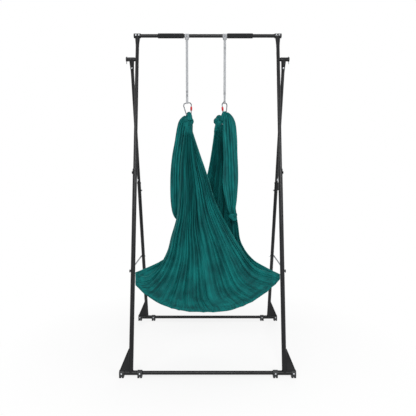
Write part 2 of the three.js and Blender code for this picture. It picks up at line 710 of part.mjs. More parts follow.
// Edges of the cloth's two layers, as shares of the way across to the tip and down to the bottom
const frontLeftShares = [[0, 0], [0.078, 0.156], [0.101, 0.318], [0.146, 0.49], [0.285, 0.648], [0.553, 0.76],
  [0.8, 0.799]];
const frontRightShares = [[0, 0], [0.076, 0.115], [0.159, 0.241], [0.237, 0.373], [0.345, 0.487], [0.516, 0.62],
  [0.718, 0.743]];
const backLeftShares = [[0, 0], [0.039, 0.124], [0.091, 0.247], [0.183, 0.387], [0.326, 0.522], [0.508, 0.662],
  [0.73, 0.73]];
const backRightShares = [[0, 0], [0.093, 0.152], [0.165, 0.292], [0.222, 0.415], [0.272, 0.522], [0.335, 0.623],
  [0.558, 0.715]];

const leftTip = new THREE.Vector2(-clothFreeSpan, leftTipHeight);
const rightTip = new THREE.Vector2(clothFreeSpan, rightTipHeight);

// One edge of a layer: a smooth line from the gathered end to the tip
function edgeLine(shares, gatherX, gatherHeight, tip) {
  const points = shares.map(([across, down]) => new THREE.Vector2(
    THREE.MathUtils.lerp(gatherX, tip.x, across),
    THREE.MathUtils.lerp(gatherHeight, clothBottomHeight, down),
  ));
  return new THREE.SplineCurve([...points, tip]);
}

// Both edges of a layer that is gathered round a point
const layerEdges = (gatherX, gatherHeight, leftShares, rightShares) => ({
  left: edgeLine(leftShares, gatherX - gatherHalfWidth, gatherHeight, leftTip),
  right: edgeLine(rightShares, gatherX + gatherHalfWidth, gatherHeight, rightTip),
});

const frontEdges = layerEdges(leftGatherX, leftGatherHeight, frontLeftShares, frontRightShares);
const backEdges = layerEdges(rightGatherX, rightGatherHeight, backLeftShares, backRightShares);

// The bottom of the cloth, from the left tip at share 0 to the right tip at share 1: down the end of the
// tip, round the hanging curve, which rises as a power of the way out, and up the end of the other tip
function bottomEdge(share) {
  const sideShare = 2 / clothColumns;
  const across = THREE.MathUtils.clamp((share - sideShare) / (1 - 2 * sideShare), 0, 1) * 2 - 1;
  const rise = across < 0 ? leftTipRise * Math.abs(across) ** 2.8 : rightTipRise * across ** 2.35;
  const height = clothBottomHeight + rise;
  const tip = across < 0 ? leftTip : rightTip;
  const climb = Math.max(0, 1 - Math.min(share, 1 - share) / sideShare);
  return new THREE.Vector2(across * clothFreeSpan, THREE.MathUtils.lerp(height, tip.y, climb));
}

// A place on the flat cloth brought forward and drawn in, the more so the further out and down it is, because
// the two tips are pulled towards the uprights
function pulled(place) {
  const fall = THREE.MathUtils.clamp((pullHeight - place.y) / (pullHeight - leftTipHeight), 0, 1);
  const curl = tipCurl * fall * (place.x / clothFreeSpan) ** 2;
  const kept = 1 - curl / pullDistance;
  return new THREE.Vector3(place.x * kept, -curl, pullHeight + (place.y - pullHeight) * kept);
}

// The way out of the bottom edge, square to it within the pulled cloth
function bottomOutward(share) {
  const step = 0.01;
  const along = bottomEdge(Math.min(1, share + step)).sub(bottomEdge(Math.max(0, share - step))).normalize();
  const edge = bottomEdge(share);
  const beyond = new THREE.Vector2(along.y, -along.x).add(edge);
  return pulled(beyond).sub(pulled(edge)).normalize();
}

// A point of the cloth: share across from its left edge, and drop from the gathered end to the bottom.
// Rows run between the two edges and take on the shape of the bottom as they go down.
function clothPoint(share, drop, layer) {
  const edges = layer < 0 ? frontEdges : backEdges;
  const between = (low, high) => low.clone().lerp(high, share);
  const place = between(edges.left.getPoint(drop), edges.right.getPoint(drop))
    .addScaledVector(bottomEdge(share).sub(between(leftTip, rightTip)), drop ** 3);
  const centred = 2 * share - 1;
  const closing = 1 - centred ** 6 * (0.75 + 0.25 * drop);
  const belly = clothDepth * Math.sin(Math.PI * Math.min(1, drop * 1.02)) ** 1.2 * closing;
  const pleat = pleatDepth * Math.cos(2 * Math.PI * pleats * share) * (1 - 0.75 * drop) * Math.min(1, 0.5 + drop);
  const ease = Math.cos(Math.PI / 2 * drop ** 6);
  const apart = (clothThickness / 2 + seatGap) * Math.min(1, (1 - drop) * clothRows);
  const depth = layer * (belly + apart) + pleat * ease;
  return pulled(place).add(new THREE.Vector3(0, depth, 0));
}

// The hammock cloth as one sheet: down from the left knot, round the bottom and up to the right knot
function clothSolid() {
  const half = clothThickness / 2;
  const positions = [];
  const index = [];
  const columns = clothColumns + 1;
  const rows = 2 * clothRows + 1;
  for (const face of [-1, 1]) {
    for (let row = 0; row < rows; row += 1) {
      const layer = row <= clothRows ? -1 : 1;
      const drop = 1 - Math.abs(row - clothRows) / clothRows;
      const turn = Math.PI / 2 * THREE.MathUtils.smoothstep(drop, 0.85, 1);
      for (let column = 0; column < columns; column += 1) {
        const share = column / clothColumns;
        const outward = bottomOutward(share).multiplyScalar(Math.sin(turn));
        outward.y += layer * Math.cos(turn);
        const point = clothPoint(share, drop, layer).addScaledVector(outward, half * face);
        positions.push(...point.toArray());
      }
    }
  }
  const at = (face, row, column) => (face * rows + row) * columns + column;
  const quad = (a, b, c, d) => index.push(a, b, c, a, c, d);
  for (let row = 0; row < rows - 1; row += 1) {
    for (let column = 0; column < clothColumns; column += 1) {
      quad(at(0, row, column), at(0, row, column + 1), at(0, row + 1, column + 1), at(0, row + 1, column));
      quad(at(1, row, column), at(1, row + 1, column), at(1, row + 1, column + 1), at(1, row, column + 1));
    }
    quad(at(0, row, 0), at(0, row + 1, 0), at(1, row + 1, 0), at(1, row, 0));
    const last = clothColumns;
    quad(at(0, row, last), at(1, row, last), at(1, row + 1, last), at(0, row + 1, last));
  }
  for (let column = 0; column < clothColumns; column += 1) {
    const end = rows - 1;
    quad(at(0, 0, column), at(1, 0, column), at(1, 0, column + 1), at(0, 0, column + 1));
    quad(at(0, end, column), at(0, end, column + 1), at(1, end, column + 1), at(1, end, column));
  }
  const geometry = new THREE.BufferGeometry();
  geometry.setAttribute('position', new THREE.Float32BufferAttribute(positions, 3));
  geometry.setIndex(index);
  return solidOf(geometry);
}

// A rounded lump of knotted cloth
function lump(centre, halfWidth, halfDepth, halfHeight) {
  const heightShares = [-lumpEndShare, -0.8, -0.45, 0, 0.45, 0.8, lumpEndShare];
  return lofted(heightShares.map((share) => {
    const reach = Math.sqrt(1 - share * share);
    return ovalRing([centre[0], centre[1], centre[2] + halfHeight * share], halfWidth * reach, halfDepth * reach,
      softSides);
  }));
}

// A hanging lobe of cloth, from rows of shares of its reach: sideways place, drop, half width, depth
function lobe(topX, topZ, y, rows, side) {
  const wave = (angle) => 1 + 0.08 * Math.cos(4 * angle);
  return lofted(rows.map(([shift, drop, width, depth]) => ovalRing(
    [topX + side * shift * lobeReach, y * depth, topZ - drop * lobeReach],
    width * lobeReach,
    lobeHalfDepth * Math.min(1, depth + 0.35),
    softSides,
    wave,
  )));
}

// The hammock: one cloth and the knotted tails at its two ends
function addHammock() {
  const group = leaningGroup(0, barY, 0, 0);
  const degrees = 180 / Math.PI;
  const wireHole = (x, gateSide, turn, tilt) => carabinerWire(gateSide, wireRadius + seatGap)
    .rotate([0, tilt * degrees, 0]).rotate([0, 0, turn * degrees]).translate([x, 0, carabinerTop]);
  const bundle = (x, z) => lump([x, 0, z], bundleHalfWidth, bundleHalfDepth, bundleHalfHeight);

  const leftRowShares = [[0.01, 0, 0.024, 0.3], [0.05, 0.1, 0.044, 0.7], [0.082, 0.24, 0.047, 1],
    [0.103, 0.39, 0.049, 1], [0.12, 0.58, 0.05, 1], [0.125, 0.74, 0.047, 1], [0.13, 0.88, 0.036, 1],
    [0.132, 0.955, 0.018, 1]];
  const leftKnot = lump([leftGatherX, 0, leftKnotHeight], knotHalfWidth, knotHalfDepth, knotHalfHeight);
  const leftLobe = lobe(leftGatherX, leftKnotHeight + knotHalfHeight / 2, lobeSetback, leftRowShares, -1);
  const leftTail = trimmed(
    joined(leftKnot, leftLobe, bundle(leftFootX, leftFootHeight)),
    wireHole(leftStrapX, 1, 0, -leftCarabinerTilt),
  );
  add(group, 'hammock_tail_left', leftTail, finishes.tealCloth);

  const rightTopZ = rightFootHeight - bundleHalfHeight / 2;
  const rightRowShares = [[0, 0.006, 0.026, -0.2], [0.022, 0.06, 0.042, -0.5], [0.046, 0.18, 0.054, -0.9],
    [0.06, 0.38, 0.06, -1], [0.066, 0.6, 0.06, -1], [0.07, 0.76, 0.051, -1], [0.083, 0.88, 0.032, -1],
    [0.09, 0.94, 0.02, -1]];
  const rightKnot = lump([rightKnotX, 0, rightKnotHeight], knotHalfWidth, knotHalfDepth, knotHalfWidth);
  const rightLobe = lobe(rightStrapX, rightTopZ, lobeSetback, rightRowShares, 1);
  const bridgeShares = [0, 0.5, 1];
  const bridgeThinShare = 0.88;
  const bridge = lofted(bridgeShares.map((share) => ovalRing(
    [
      THREE.MathUtils.lerp(rightKnotX, rightStrapX, share),
      0,
      THREE.MathUtils.lerp(rightKnotHeight, rightTopZ, share),
    ],
    bundleHalfWidth * bridgeThinShare,
    bundleHalfDepth * bridgeThinShare,
    softSides,
  )));
  const lastRow = rightRowShares[rightRowShares.length - 1];
  const tieKnot = lump(
    [rightStrapX + lastRow[0] * lobeReach, -lobeSetback, rightTopZ - lastRow[1] * lobeReach],
    tieKnotRadius,
    tieKnotRadius * 0.8,
    tieKnotRadius,
  );
  const rightTail = trimmed(
    joined(rightKnot, bridge, rightLobe, tieKnot, bundle(rightStrapX, rightFootHeight)),
    wireHole(rightStrapX, -1, rightCarabinerTurn, 0),
  );
  add(group, 'hammock_tail_right', rightTail, finishes.tealCloth);

  add(group, 'hammock_cloth', clothSolid(), finishes.tealCloth);
}

addBase('front', frontY, frontHalfSpacing, -frontLean, frontLowerRadius);
addBase('rear', rearY, rearHalfSpacing, rearLean, rearLowerRadius);
addUprights();
addBar();
addRearLegs();
addStays();
addHanger('left', leftStrapX, 1, 0, -leftCarabinerTilt);
addHanger('right', rightStrapX, -1, rightCarabinerTurn, 0);
addHammock();

export default part;
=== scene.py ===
"""The looks of a folding aerial rig: black steel A-frame, grips, straps, carabiners and a knotted hammock.

Shapes are worked out in millimetres on grids of points and go into meshes in metres. X runs to the right,
Y from the front frame to the rear frame, and Z up from the floor.
"""

import json
import math

import bpy
import numpy as np
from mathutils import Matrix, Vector


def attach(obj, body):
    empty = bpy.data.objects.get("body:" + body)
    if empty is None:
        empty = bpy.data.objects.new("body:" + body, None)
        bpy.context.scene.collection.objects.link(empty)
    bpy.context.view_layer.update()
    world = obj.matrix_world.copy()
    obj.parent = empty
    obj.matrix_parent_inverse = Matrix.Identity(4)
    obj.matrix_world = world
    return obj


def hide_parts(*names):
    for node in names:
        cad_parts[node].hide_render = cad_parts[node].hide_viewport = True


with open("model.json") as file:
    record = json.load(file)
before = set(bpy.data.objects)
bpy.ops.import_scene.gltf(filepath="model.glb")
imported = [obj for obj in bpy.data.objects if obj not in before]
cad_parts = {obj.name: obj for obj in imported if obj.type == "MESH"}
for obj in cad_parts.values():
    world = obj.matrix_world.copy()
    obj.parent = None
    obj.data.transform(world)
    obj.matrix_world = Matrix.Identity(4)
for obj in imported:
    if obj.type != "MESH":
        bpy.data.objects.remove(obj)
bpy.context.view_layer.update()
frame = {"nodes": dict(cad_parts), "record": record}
MM, METRE = 0.001, 1000


def add_object(name, data):
    """A new object with its data, linked to the scene."""
    thing = bpy.data.objects.new(name, data)
    bpy.context.scene.collection.objects.link(thing)
    return thing


# Camera: a little over eye height, looking slightly down at the whole stand
camera = add_object("camera", bpy.data.cameras.new("camera"))
camera.data.sensor_width = 36
camera.data.lens = 38.94
camera.location = (0.0032, -4.284, 1.7815)
camera.rotation_euler = (math.radians(84.27), 0, 0)
bpy.context.scene.camera = camera

# Driving sizes of the stand, in millimetres
BASE_HEIGHT = 38
FRONT_X, REAR_X = 640, 690
FRONT_Y, REAR_Y = -683, 683
BAR_Y, BAR_Z = -35, 2936
HINGE_Z = 2716
STAY_PIVOT_Z, STAY_STUD_Z = 787, 859
FRONT_JOINT, REAR_JOINT = 1732, 1612  # up the tube, where the lower tube ends
PLUG_DEPTH = 130
SEAT_GAP = 0.3
BRACKET_DROP, TEE_DROP = 105, 120
FRONT_LEAN = math.atan2(BAR_Y - FRONT_Y, BAR_Z - BASE_HEIGHT)
HINGE_Y = FRONT_Y + (HINGE_Z - BASE_HEIGHT) * math.tan(FRONT_LEAN)
REAR_LEAN = math.atan2(REAR_Y - HINGE_Y, HINGE_Z - BASE_HEIGHT)
UPRIGHT_RUN = math.hypot(BAR_Y - FRONT_Y, BAR_Z - BASE_HEIGHT)
HINGE_RUN = (HINGE_Z - BASE_HEIGHT) / math.cos(FRONT_LEAN)
REAR_RUN = math.hypot(REAR_Y - HINGE_Y, HINGE_Z - BASE_HEIGHT)
HANDS = (("left", -1), ("right", 1))
X, Y, Z = 0, 1, 2

# Tubes, each as its outer radius and its bore
BASE_MIDDLE, BASE_CORNER = (16, 14), (19, 16.3)
UPRIGHT_LOWER, UPRIGHT_UPPER = (19, 16.3), (16, 14)
LEG_LOWER, LEG_UPPER = (17.5, 15.3), (15, 13)
BAR_TUBE, GRIP_TUBE = (16, 14), (22, 16.3)
BRACKET_SLEEVE, HINGE_BARREL, HINGE_RING = (21, 16.3), (18, 12.3), (20, 12.3)

# Hardware: bolt heads by their radius, nuts and knobs by radius and height, and the necks above the tubes by
# the radius at their foot and the half width and half depth at their top
FOOT_BOLT, FRAME_BOLT, JOINT_BOLT = 5.2, 5.4, 7.6
SMALL_NUT, LARGE_NUT = (6.5, 4.5), (7.5, 5.5)
JOINT_KNOB, STAY_KNOB = (14, 7), (15, 6)
BRACKET_NECK, TEE_NECK = (16.2, 23.5, 17), (15.2, 22, 16)
SHANK, WELD = 4, 2.4


# Surfaces

def skin(grid, uv=None, closed=True):
    """A grid of points as faces, one to a cell: its last column joins its first, unless it's a sheet that
    brings its own map, and points that meet are made one. A closed skin is turned so that six times its
    volume, the sum of a.(b x c) over its triangles, is positive."""
    grid = np.asarray(grid, float)
    if uv is None:
        grid = np.concatenate([grid, grid[:, :1]], axis=1)
        along = np.linalg.norm(np.diff(grid, axis=0), axis=2).mean(axis=1)
        around = np.linalg.norm(np.diff(grid, axis=1), axis=2).max(axis=0)
        u, v = np.meshgrid(np.append(0, around).cumsum(), np.append(0, along).cumsum())
        uv = np.stack([u, v], axis=-1)
    points, ids = np.unique(np.round(grid.reshape(-1, 3), 4), axis=0, return_inverse=True)
    ids = ids.reshape(grid.shape[:2])
    cell = lambda a: np.stack([a[:-1, :-1], a[1:, :-1], a[1:, 1:], a[:-1, 1:]], axis=2)
    quads = cell(ids).reshape(-1, 4)
    uvs = cell(uv).reshape(-1, 4, 2)
    kept = quads != np.roll(quads, -1, axis=1)
    whole = kept.sum(axis=1) >= 3
    quads, uvs, kept = quads[whole], uvs[whole], kept[whole]
    a, b, c, d = (points[quads[:, i]] for i in range(4))
    volume = (np.cross(b, c) * a).sum() + (np.cross(c, d) * a).sum()
    if closed and volume < 0:
        quads, uvs = quads[:, ::-1], uvs[:, ::-1]
        kept = quads != np.roll(quads, -1, axis=1)
    return points, quads[kept], kept.sum(axis=1), uvs[kept]


def piece(name, shapes, finish, body, stands_for=(), sharp=36):
    """One object of one or more shapes, each a grid of points or a ready skin, with its finish, the body it
    rides on and the nodes it stands for. Edges over the sharp angle stay sharp."""
    skins = [shape if isinstance(shape, tuple) else skin(shape) for shape in shapes]
    starts = np.cumsum([0] + [len(one[0]) for one in skins])
    corners = np.concatenate([one[1] + start for one, start in zip(skins, starts)])
    counts = np.concatenate([one[2] for one in skins])
    points, maps = (np.concatenate([one[i] for one in skins]).astype(float) * MM for i in (0, 3))
    mesh = bpy.data.meshes.new(name)
    mesh.vertices.add(len(points))
    mesh.vertices.foreach_set("co", points.astype(np.float32).ravel())
    mesh.loops.add(len(corners))
    mesh.loops.foreach_set("vertex_index", corners.astype(np.int32))
    mesh.polygons.add(len(counts))
    mesh.polygons.foreach_set("loop_start", np.append(0, counts.cumsum()[:-1]).astype(np.int32))
    mesh.polygons.foreach_set("use_smooth", np.ones(len(counts), bool))
    layer = mesh.uv_layers.new(name="UVMap")
    layer.uv.foreach_set("vector", maps.astype(np.float32).ravel())
    mesh.update(calc_edges=True)
    mesh.validate()
    mesh.set_sharp_from_angle(angle=math.radians(sharp))
    mesh.materials.append(finish)
    thing = add_object(name, mesh)
    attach(thing, body)
    if stands_for:
        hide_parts(*stands_for)
    return thing


def filleted(corners, radius, closed=False):
    """A line of corners with each one rounded: between two points set back from the corner by the radius, or
    by 0.45 of the shorter side, runs the curve (1-t)^2 a + 2t(1-t) corner + t^2 b."""
    corners = np.asarray(corners, float)
    before = np.roll(corners, 1, axis=0) - corners
    after = np.roll(corners, -1, axis=0) - corners
    shorter = np.minimum(np.linalg.norm(before, axis=1), np.linalg.norm(after, axis=1))
    set_back = np.minimum(radius, 0.45 * shorter)[:, None]
    a, b = corners + unit(before) * set_back, corners + unit(after) * set_back
    t = np.linspace(0, 1, 4)[None, :, None]
    curves = (1 - t) ** 2 * a[:, None] + 2 * t * (1 - t) * corners[:, None] + t ** 2 * b[:, None]
    if closed:
        return curves.reshape(-1, 2)
    return np.concatenate([corners[:1], curves[1:-1].reshape(-1, 2), corners[-1:]])


def rounded_box(left, bottom, right, top, edge):
    """The outline of a rectangle with rounded corners."""
    return filleted([[left, bottom], [right, bottom], [right, top], [left, top]], edge, closed=True)


def unit(vectors):
    """Vectors brought to length one."""
    return vectors / np.maximum(np.linalg.norm(vectors, axis=-1, keepdims=True), 1e-9)


def eased(share):
    """A share that starts and ends gently: s^2 (3 - 2s)."""
    return share ** 2 * (3 - 2 * share)


def spread(x, y, z):
    """Points from their three coordinates, each spread to the others' shape."""
    return np.stack(np.broadcast_arrays(x, y, z), axis=-1)


def looped(rows):
    """Rows with the first one once more at the end, for a profile or a path that is a closed loop."""
    return np.concatenate([rows, rows[:1]])


def round_angles(count):
    """Even angles once round a circle."""
    return np.linspace(0, 2 * np.pi, count, endpoint=False)


def turned(profile, sides=48, wave=None):
    """A profile of radius and height turned round Z: (r cos a, r sin a, h), r times a wave of the angle."""
    profile = np.asarray(profile, float)
    angle = round_angles(sides)
    reach = profile[:, :1] * (wave(angle) if wave else 1)
    return spread(reach * np.cos(angle), reach * np.sin(angle), profile[:, 1:])


def rod(radius, start, end, edge, sides=48):
    """A round bar along Z with its rims rounded."""
    return turned(filleted([[0, start], [radius, start], [radius, end], [0, end]], edge), sides)


def pipe(radius, bore, start, end, edge=0.7, sides=56):
    """A round tube along Z with its rims rounded."""
    return turned(looped(rounded_box(bore, start, radius, end, edge)), sides)


def crosswise(grid, side=1):
    """A shape along Z laid along X, towards the given side."""
    return grid[..., ::-1] * (side, 1, 1)


def facing_front(grid):
    """A shape along Z laid along -Y, so that its top faces the front."""
    return grid[..., [0, 2, 1]] * (1, -1, 1)


def moved(grid, x=0.0, y=0.0, z=0.0):
    """A shape shifted by a step along each axis."""
    return grid + np.array([x, y, z], float)


def swung(grid, axis, angle):
    """A shape turned about an axis: a' = a cos - b sin and b' = a sin + b cos, where a and b are the two axes
    that come next in the order X, Y, Z, X, Y."""
    still, a, b = np.moveaxis(np.roll(grid, -axis, axis=-1), -1, 0)
    c, s = math.cos(angle), math.sin(angle)
    return np.roll(spread(still, a * c - b * s, a * s + b * c), axis, axis=-1)


def frames_along(path, across):
    """Unit tangent, sideways and upward directions at each point of a path: the sideways one is the given
    direction with its share along the tangent taken off."""
    tangent = unit(np.gradient(path, axis=0))
    across = np.broadcast_to(np.asarray(across, float), path.shape)
    sideways = unit(across - (across * tangent).sum(axis=-1, keepdims=True) * tangent)
    return tangent, sideways, np.cross(tangent, sideways)


def swept(path, section, across):
    """A section, or one for each point, carried along a path: p + x sideways + y upward."""
    _, sideways, upward = frames_along(path, across)
    section = np.broadcast_to(section, (len(path),) + section.shape[-2:])
    return path[:, None] + section[..., :1] * sideways[:, None] + section[..., 1:] * upward[:, None]


def capped(tube, path, rim=0):
    """A tube along a path, closed at both ends on the path's own end points, or down to a rim, which is a
    share of its end rings."""
    first, last = path[0] + rim * (tube[:1] - path[0]), path[-1] + rim * (tube[-1:] - path[-1])
    return np.concatenate([first, tube, last])


def circle(radius, sides):
    """Points of a circle round the origin."""
    t = round_angles(sides)
    return radius * np.stack([np.cos(t), np.sin(t)], axis=1)


def plate_section(width, thickness, edge=0.8):
    """The outline of a flat band's section with rounded edges."""
    w, t = width / 2, thickness / 2
    return rounded_box(-w, -t, w, t, edge)


def bezier(points, count):
    """A curve on control points: the sum of (n over i) t^i (1-t)^(n-i) times each point."""
    n = len(points) - 1
    i = np.arange(n + 1)
    t = np.linspace(0, 1, count)[:, None]
    choices = np.array([math.comb(n, k) for k in i])
    return (choices * t ** i * (1 - t) ** (n - i)) @ np.asarray(points, float)


def smooth_line(points, places):
    """A Catmull-Rom curve through points, at places from 0 to 1 along them, with its end points doubled."""
    points = np.asarray(points, float)
    last = len(points) - 1
    place = np.asarray(places) * last
    i = np.minimum(np.floor(place).astype(int), last)
    w = (place - i)[..., None]
    p0, p1 = points[np.maximum(i - 1, 0)], points[i]
    p2, p3 = points[np.minimum(i + 1, last)], points[np.minimum(i + 2, last)]
    v0, v1 = (p2 - p0) / 2, (p3 - p1) / 2
    return (2 * p1 - 2 * p2 + v0 + v1) * w ** 3 + (3 * p2 - 3 * p1 - 2 * v0 - v1) * w ** 2 + v0 * w + p1


# Finishes

def linear(code):
    """A hex sRGB colour as linear values: ((c + 0.055)/1.055)^2.4, or c/12.92 in the darkest part."""
    values = [int(code[i:i + 2], 16) / 255 for i in (1, 3, 5)]
    return [v / 12.92 if v <= 0.04045 else ((v + 0.055) / 1.055) ** 2.4 for v in values] + [1.0]


def node(tree, kind, inputs=(), **settings):
    """Adds a node with its settings, and a value or a link on each named or numbered input."""
    made = tree.nodes.new(kind)
    for key, value in settings.items():
        setattr(made, key, value)
    for key, value in dict(inputs).items():
        if isinstance(value, bpy.types.NodeSocket):
            tree.links.new(value, made.inputs[key])
        else:
            made.inputs[key].default_value = value
    return made


def empty_tree(owner):
    """The node tree of a material or a world, switched on and emptied."""
    owner.use_nodes = True
    owner.node_tree.nodes.clear()
    return owner.node_tree


def start_finish(name, **values):
    """A new material with its shader and the given values on the shader's own sockets."""
    material = bpy.data.materials.new(name)
    tree = empty_tree(material)
    shader = node(tree, "ShaderNodeBsdfPrincipled", values)
    node(tree, "ShaderNodeOutputMaterial", {"Surface": shader.outputs[0]})
    return material, tree, shader


def dress(tree, shader, share, colours, height, bump, rough=None):
    """Gives a shader its looks: two hex colours blended by a share, a relief of a strength and a depth in
    metres from a height, and where it is given a roughness from a value, low at 0.3 and high at 0.7."""
    low, high = colours
    mix = node(tree, "ShaderNodeMix", {0: share, 6: linear(low), 7: linear(high)}, data_type="RGBA")
    tree.links.new(mix.outputs[2], shader.inputs["Base Color"])
    relief = node(tree, "ShaderNodeBump", {"Strength": bump[0], "Distance": bump[1], "Height": height})
    tree.links.new(relief.outputs[0], shader.inputs["Normal"])
    if rough:
        value, low, high = rough
        haze = node(tree, "ShaderNodeMapRange", {0: value, 1: 0.3, 2: 0.7, 3: low, 4: high})
        tree.links.new(haze.outputs[0], shader.inputs["Roughness"])


def per(size):
    """The scale at which a pattern in metres repeats every so many millimetres."""
    return METRE / size


def bands(size):
    """The same for a wave texture, whose sine runs at 20 times its scale."""
    return 2 * math.pi / 20 * per(size)


def mottled_finish(name, colours, patches, grain, bump, rough=None, blend=(0, 1), rough_by_grain=False,
                   drawn=(1, 1, 1), pattern="ShaderNodeTexNoise", **values):
    """A finish on Object coordinates. Patches, a slow noise, blend the two colours over a part of their
    range, a fine grain, drawn out or not, lifts the surface, and one of the two may spread the roughness."""
    material, tree, shader = start_finish(name, **values)
    place = node(tree, "ShaderNodeTexCoord").outputs["Object"]
    slow = node(tree, "ShaderNodeTexNoise", {"Vector": place, **patches}).outputs[0]
    along = node(tree, "ShaderNodeMapping", {"Vector": place, "Scale": drawn}).outputs[0]
    fine = node(tree, pattern, {"Vector": along, **grain}).outputs[0]
    share = node(tree, "ShaderNodeMapRange", {0: slow, 1: blend[0], 2: blend[1]}).outputs[0]
    haze = rough and (fine if rough_by_grain else slow, *rough)
    dress(tree, shader, share, colours, fine, bump, haze)
    return material


def woven_fabric(name, colours, rib, row):
    """A flat weave on the piece's own map: ribs across and rows along at their spacing in millimetres, with
    the height of the threads as the product of two sine waves."""
    material, tree, shader = start_finish(name, Metallic=0.0, Roughness=0.86, IOR=1.46,
                                          **{"Sheen Weight": 0.15, "Sheen Roughness": 0.5})
    place = node(tree, "ShaderNodeTexCoord").outputs["UV"]
    across = node(tree, "ShaderNodeTexWave", {"Vector": place, "Scale": bands(rib), "Distortion": 0.4,
                                              "Detail": 1}, bands_direction="Y")
    along = node(tree, "ShaderNodeTexWave", {"Vector": place, "Scale": bands(row), "Distortion": 0.2,
                                             "Detail": 1}, bands_direction="X")
    threads = node(tree, "ShaderNodeMath", {0: across.outputs[1], 1: along.outputs[1]}, operation="MULTIPLY")
    soil = node(tree, "ShaderNodeTexNoise", {"Vector": place, "Scale": per(40), "Detail": 5})
    shade = node(tree, "ShaderNodeMath", {0: threads.outputs[0], 1: soil.outputs[0]}, operation="ADD")
    share = node(tree, "ShaderNodeMapRange", {0: shade.outputs[0], 1: 0.2, 2: 1.3})
    dress(tree, shader, share.outputs[0], colours, threads.outputs[0], (0.6, 0.0002))
    return material


def stretch_tricot(name, colours):
    """Warp-knitted nylon tricot, dyed teal: soft low sheen, fine wales down the cloth and long faint streaks,
    which lift the surface, vary the gloss and darken and lighten the colour as painted shade of pleats too
    fine for the mesh. The map's U runs across the cloth and its V down it."""
    material, tree, shader = start_finish(name, Metallic=0.0, Roughness=0.7, IOR=1.3,
                                          **{"Specular IOR Level": 0.3})
    place = node(tree, "ShaderNodeTexCoord").outputs["UV"]
    streaked = node(tree, "ShaderNodeMapping", {"Vector": place, "Scale": (1.0, 0.035, 1.0)}).outputs[0]
    streaks = node(tree, "ShaderNodeTexNoise", {"Vector": streaked, "Scale": per(14), "Detail": 5,
                                                "Roughness": 0.65})
    # puckers too small for the mesh lie 16 mm apart; wales of 0.8 mm are drawn at 2.5 mm, so that they show
    puckers = node(tree, "ShaderNodeTexWave", {"Vector": place, "Scale": bands(16), "Distortion": 1.0,
                                               "Detail": 2, "Detail Scale": 2}, bands_direction="X")
    wales = node(tree, "ShaderNodeTexWave", {"Vector": place, "Scale": bands(2.5), "Distortion": 0.5},
                 bands_direction="X")
    relief = node(tree, "ShaderNodeMath", {0: wales.outputs[1], 1: 0.08, 2: puckers.outputs[1]},
                  operation="MULTIPLY_ADD")
    clouds = node(tree, "ShaderNodeTexNoise", {"Vector": place, "Scale": per(160), "Detail": 3})
    # the colour follows the streaks, painted shade of pleats too fine for the mesh, and slow random clouds of
    # tone
    shade = node(tree, "ShaderNodeMath", {0: streaks.outputs[0], 1: clouds.outputs[0]}, operation="ADD")
    share = node(tree, "ShaderNodeMapRange", {0: shade.outputs[0], 1: 0.8, 2: 1.22})
    height = node(tree, "ShaderNodeMath", {0: relief.outputs[0], 1: 0.25, 2: streaks.outputs[0]},
                  operation="MULTIPLY_ADD")
    dress(tree, shader, share.outputs[0], colours, height.outputs[0], (0.35, 0.002),
          (streaks.outputs[0], 0.6, 0.8))
    return material


# Semi-gloss black polyester powder coat, sprayed and baked: soft highlights, an orange peel 1.5 mm from crest
# to crest, and a few dull rubbed patches where hands and sleeves slide
coat = mottled_finish(
    "powder_coated_steel", ("#0b0c0e", "#141518"), patches={"Scale": per(90), "Detail": 5, "Roughness": 0.6},
    grain={"Scale": per(1.5), "Detail": 2}, bump=(0.05, 0.0002), rough=(0.28, 0.4), blend=(0.42, 0.7),
    Metallic=0.0, IOR=1.35)
# Black polypropylene, injection moulded in a spark-eroded mould: an even fine grain and a dull sheen
plastic = mottled_finish(
    "moulded_plastic", ("#141517", "#202224"), patches={"Scale": per(30), "Detail": 3},
    grain={"Scale": per(0.9), "Detail": 3}, bump=(0.25, 0.0002), rough=(0.5, 0.66), rough_by_grain=True,
    Metallic=0.0, IOR=1.49)
# Black nitrile foam, extruded and ground: matt, with open pores of 0.6 mm drawn at 1.4 mm, so that they show
foam = mottled_finish(
    "closed_cell_foam", ("#0d0e0f", "#1c1d1f"), patches={"Scale": per(12), "Detail": 4},
    grain={"Scale": per(1.4)}, bump=(0.5, 0.0004), pattern="ShaderNodeTexVoronoi", Metallic=0.0,
    Roughness=0.94, IOR=1.45)
# Steel, machined and nickel plated: bright on the fasteners and duller on the handled carabiners, with faint
# turning marks and a haze that varies the gloss
machined = {"patches": {"Scale": per(6), "Detail": 4}, "grain": {"Scale": per(0.7), "Detail": 2},
            "bump": (0.06, 0.0001), "Metallic": 1.0}
plated = mottled_finish("nickel_plated_fasteners", ("#b4b8bc", "#dcdee1"), rough=(0.2, 0.34), **machined)
forged = mottled_finish("nickel_plated_carabiners", ("#5a5e62", "#7c8084"), rough=(0.4, 0.54), **machined)
# Cold rolled steel strip, zinc plated: mid grey with cloudy patches, and rolling marks 1 mm apart along the
# strip, which lies almost along Y
strip = mottled_finish(
    "zinc_plated_strip", ("#62656a", "#888b8f"), patches={"Scale": per(25), "Detail": 4},
    grain={"Scale": per(1.0), "Detail": 3}, bump=(0.15, 0.0001), rough=(0.36, 0.52), rough_by_grain=True,
    drawn=(1.0, 0.03, 1.0), Metallic=0.9)
# Aluminium, knurled and anodised red: satin metal, a shade paler on the worn crests
anodised = mottled_finish(
    "red_anodised_aluminium", ("#8e0a14", "#b5141f"), patches={"Scale": per(3), "Detail": 4},
    grain={"Scale": per(0.4), "Detail": 2}, bump=(0.1, 0.0001), rough=(0.3, 0.44), Metallic=0.75)
# Woven polyester webbing with ribs 2.2 mm apart, and bonded thread, darker and finer
webbing = woven_fabric("polyester_webbing", ("#86888b", "#b3b5b8"), 2.2, 1.8)
stitching = woven_fabric("bonded_stitching", ("#3a3c40", "#5a5d61"), 1.2, 1.2)
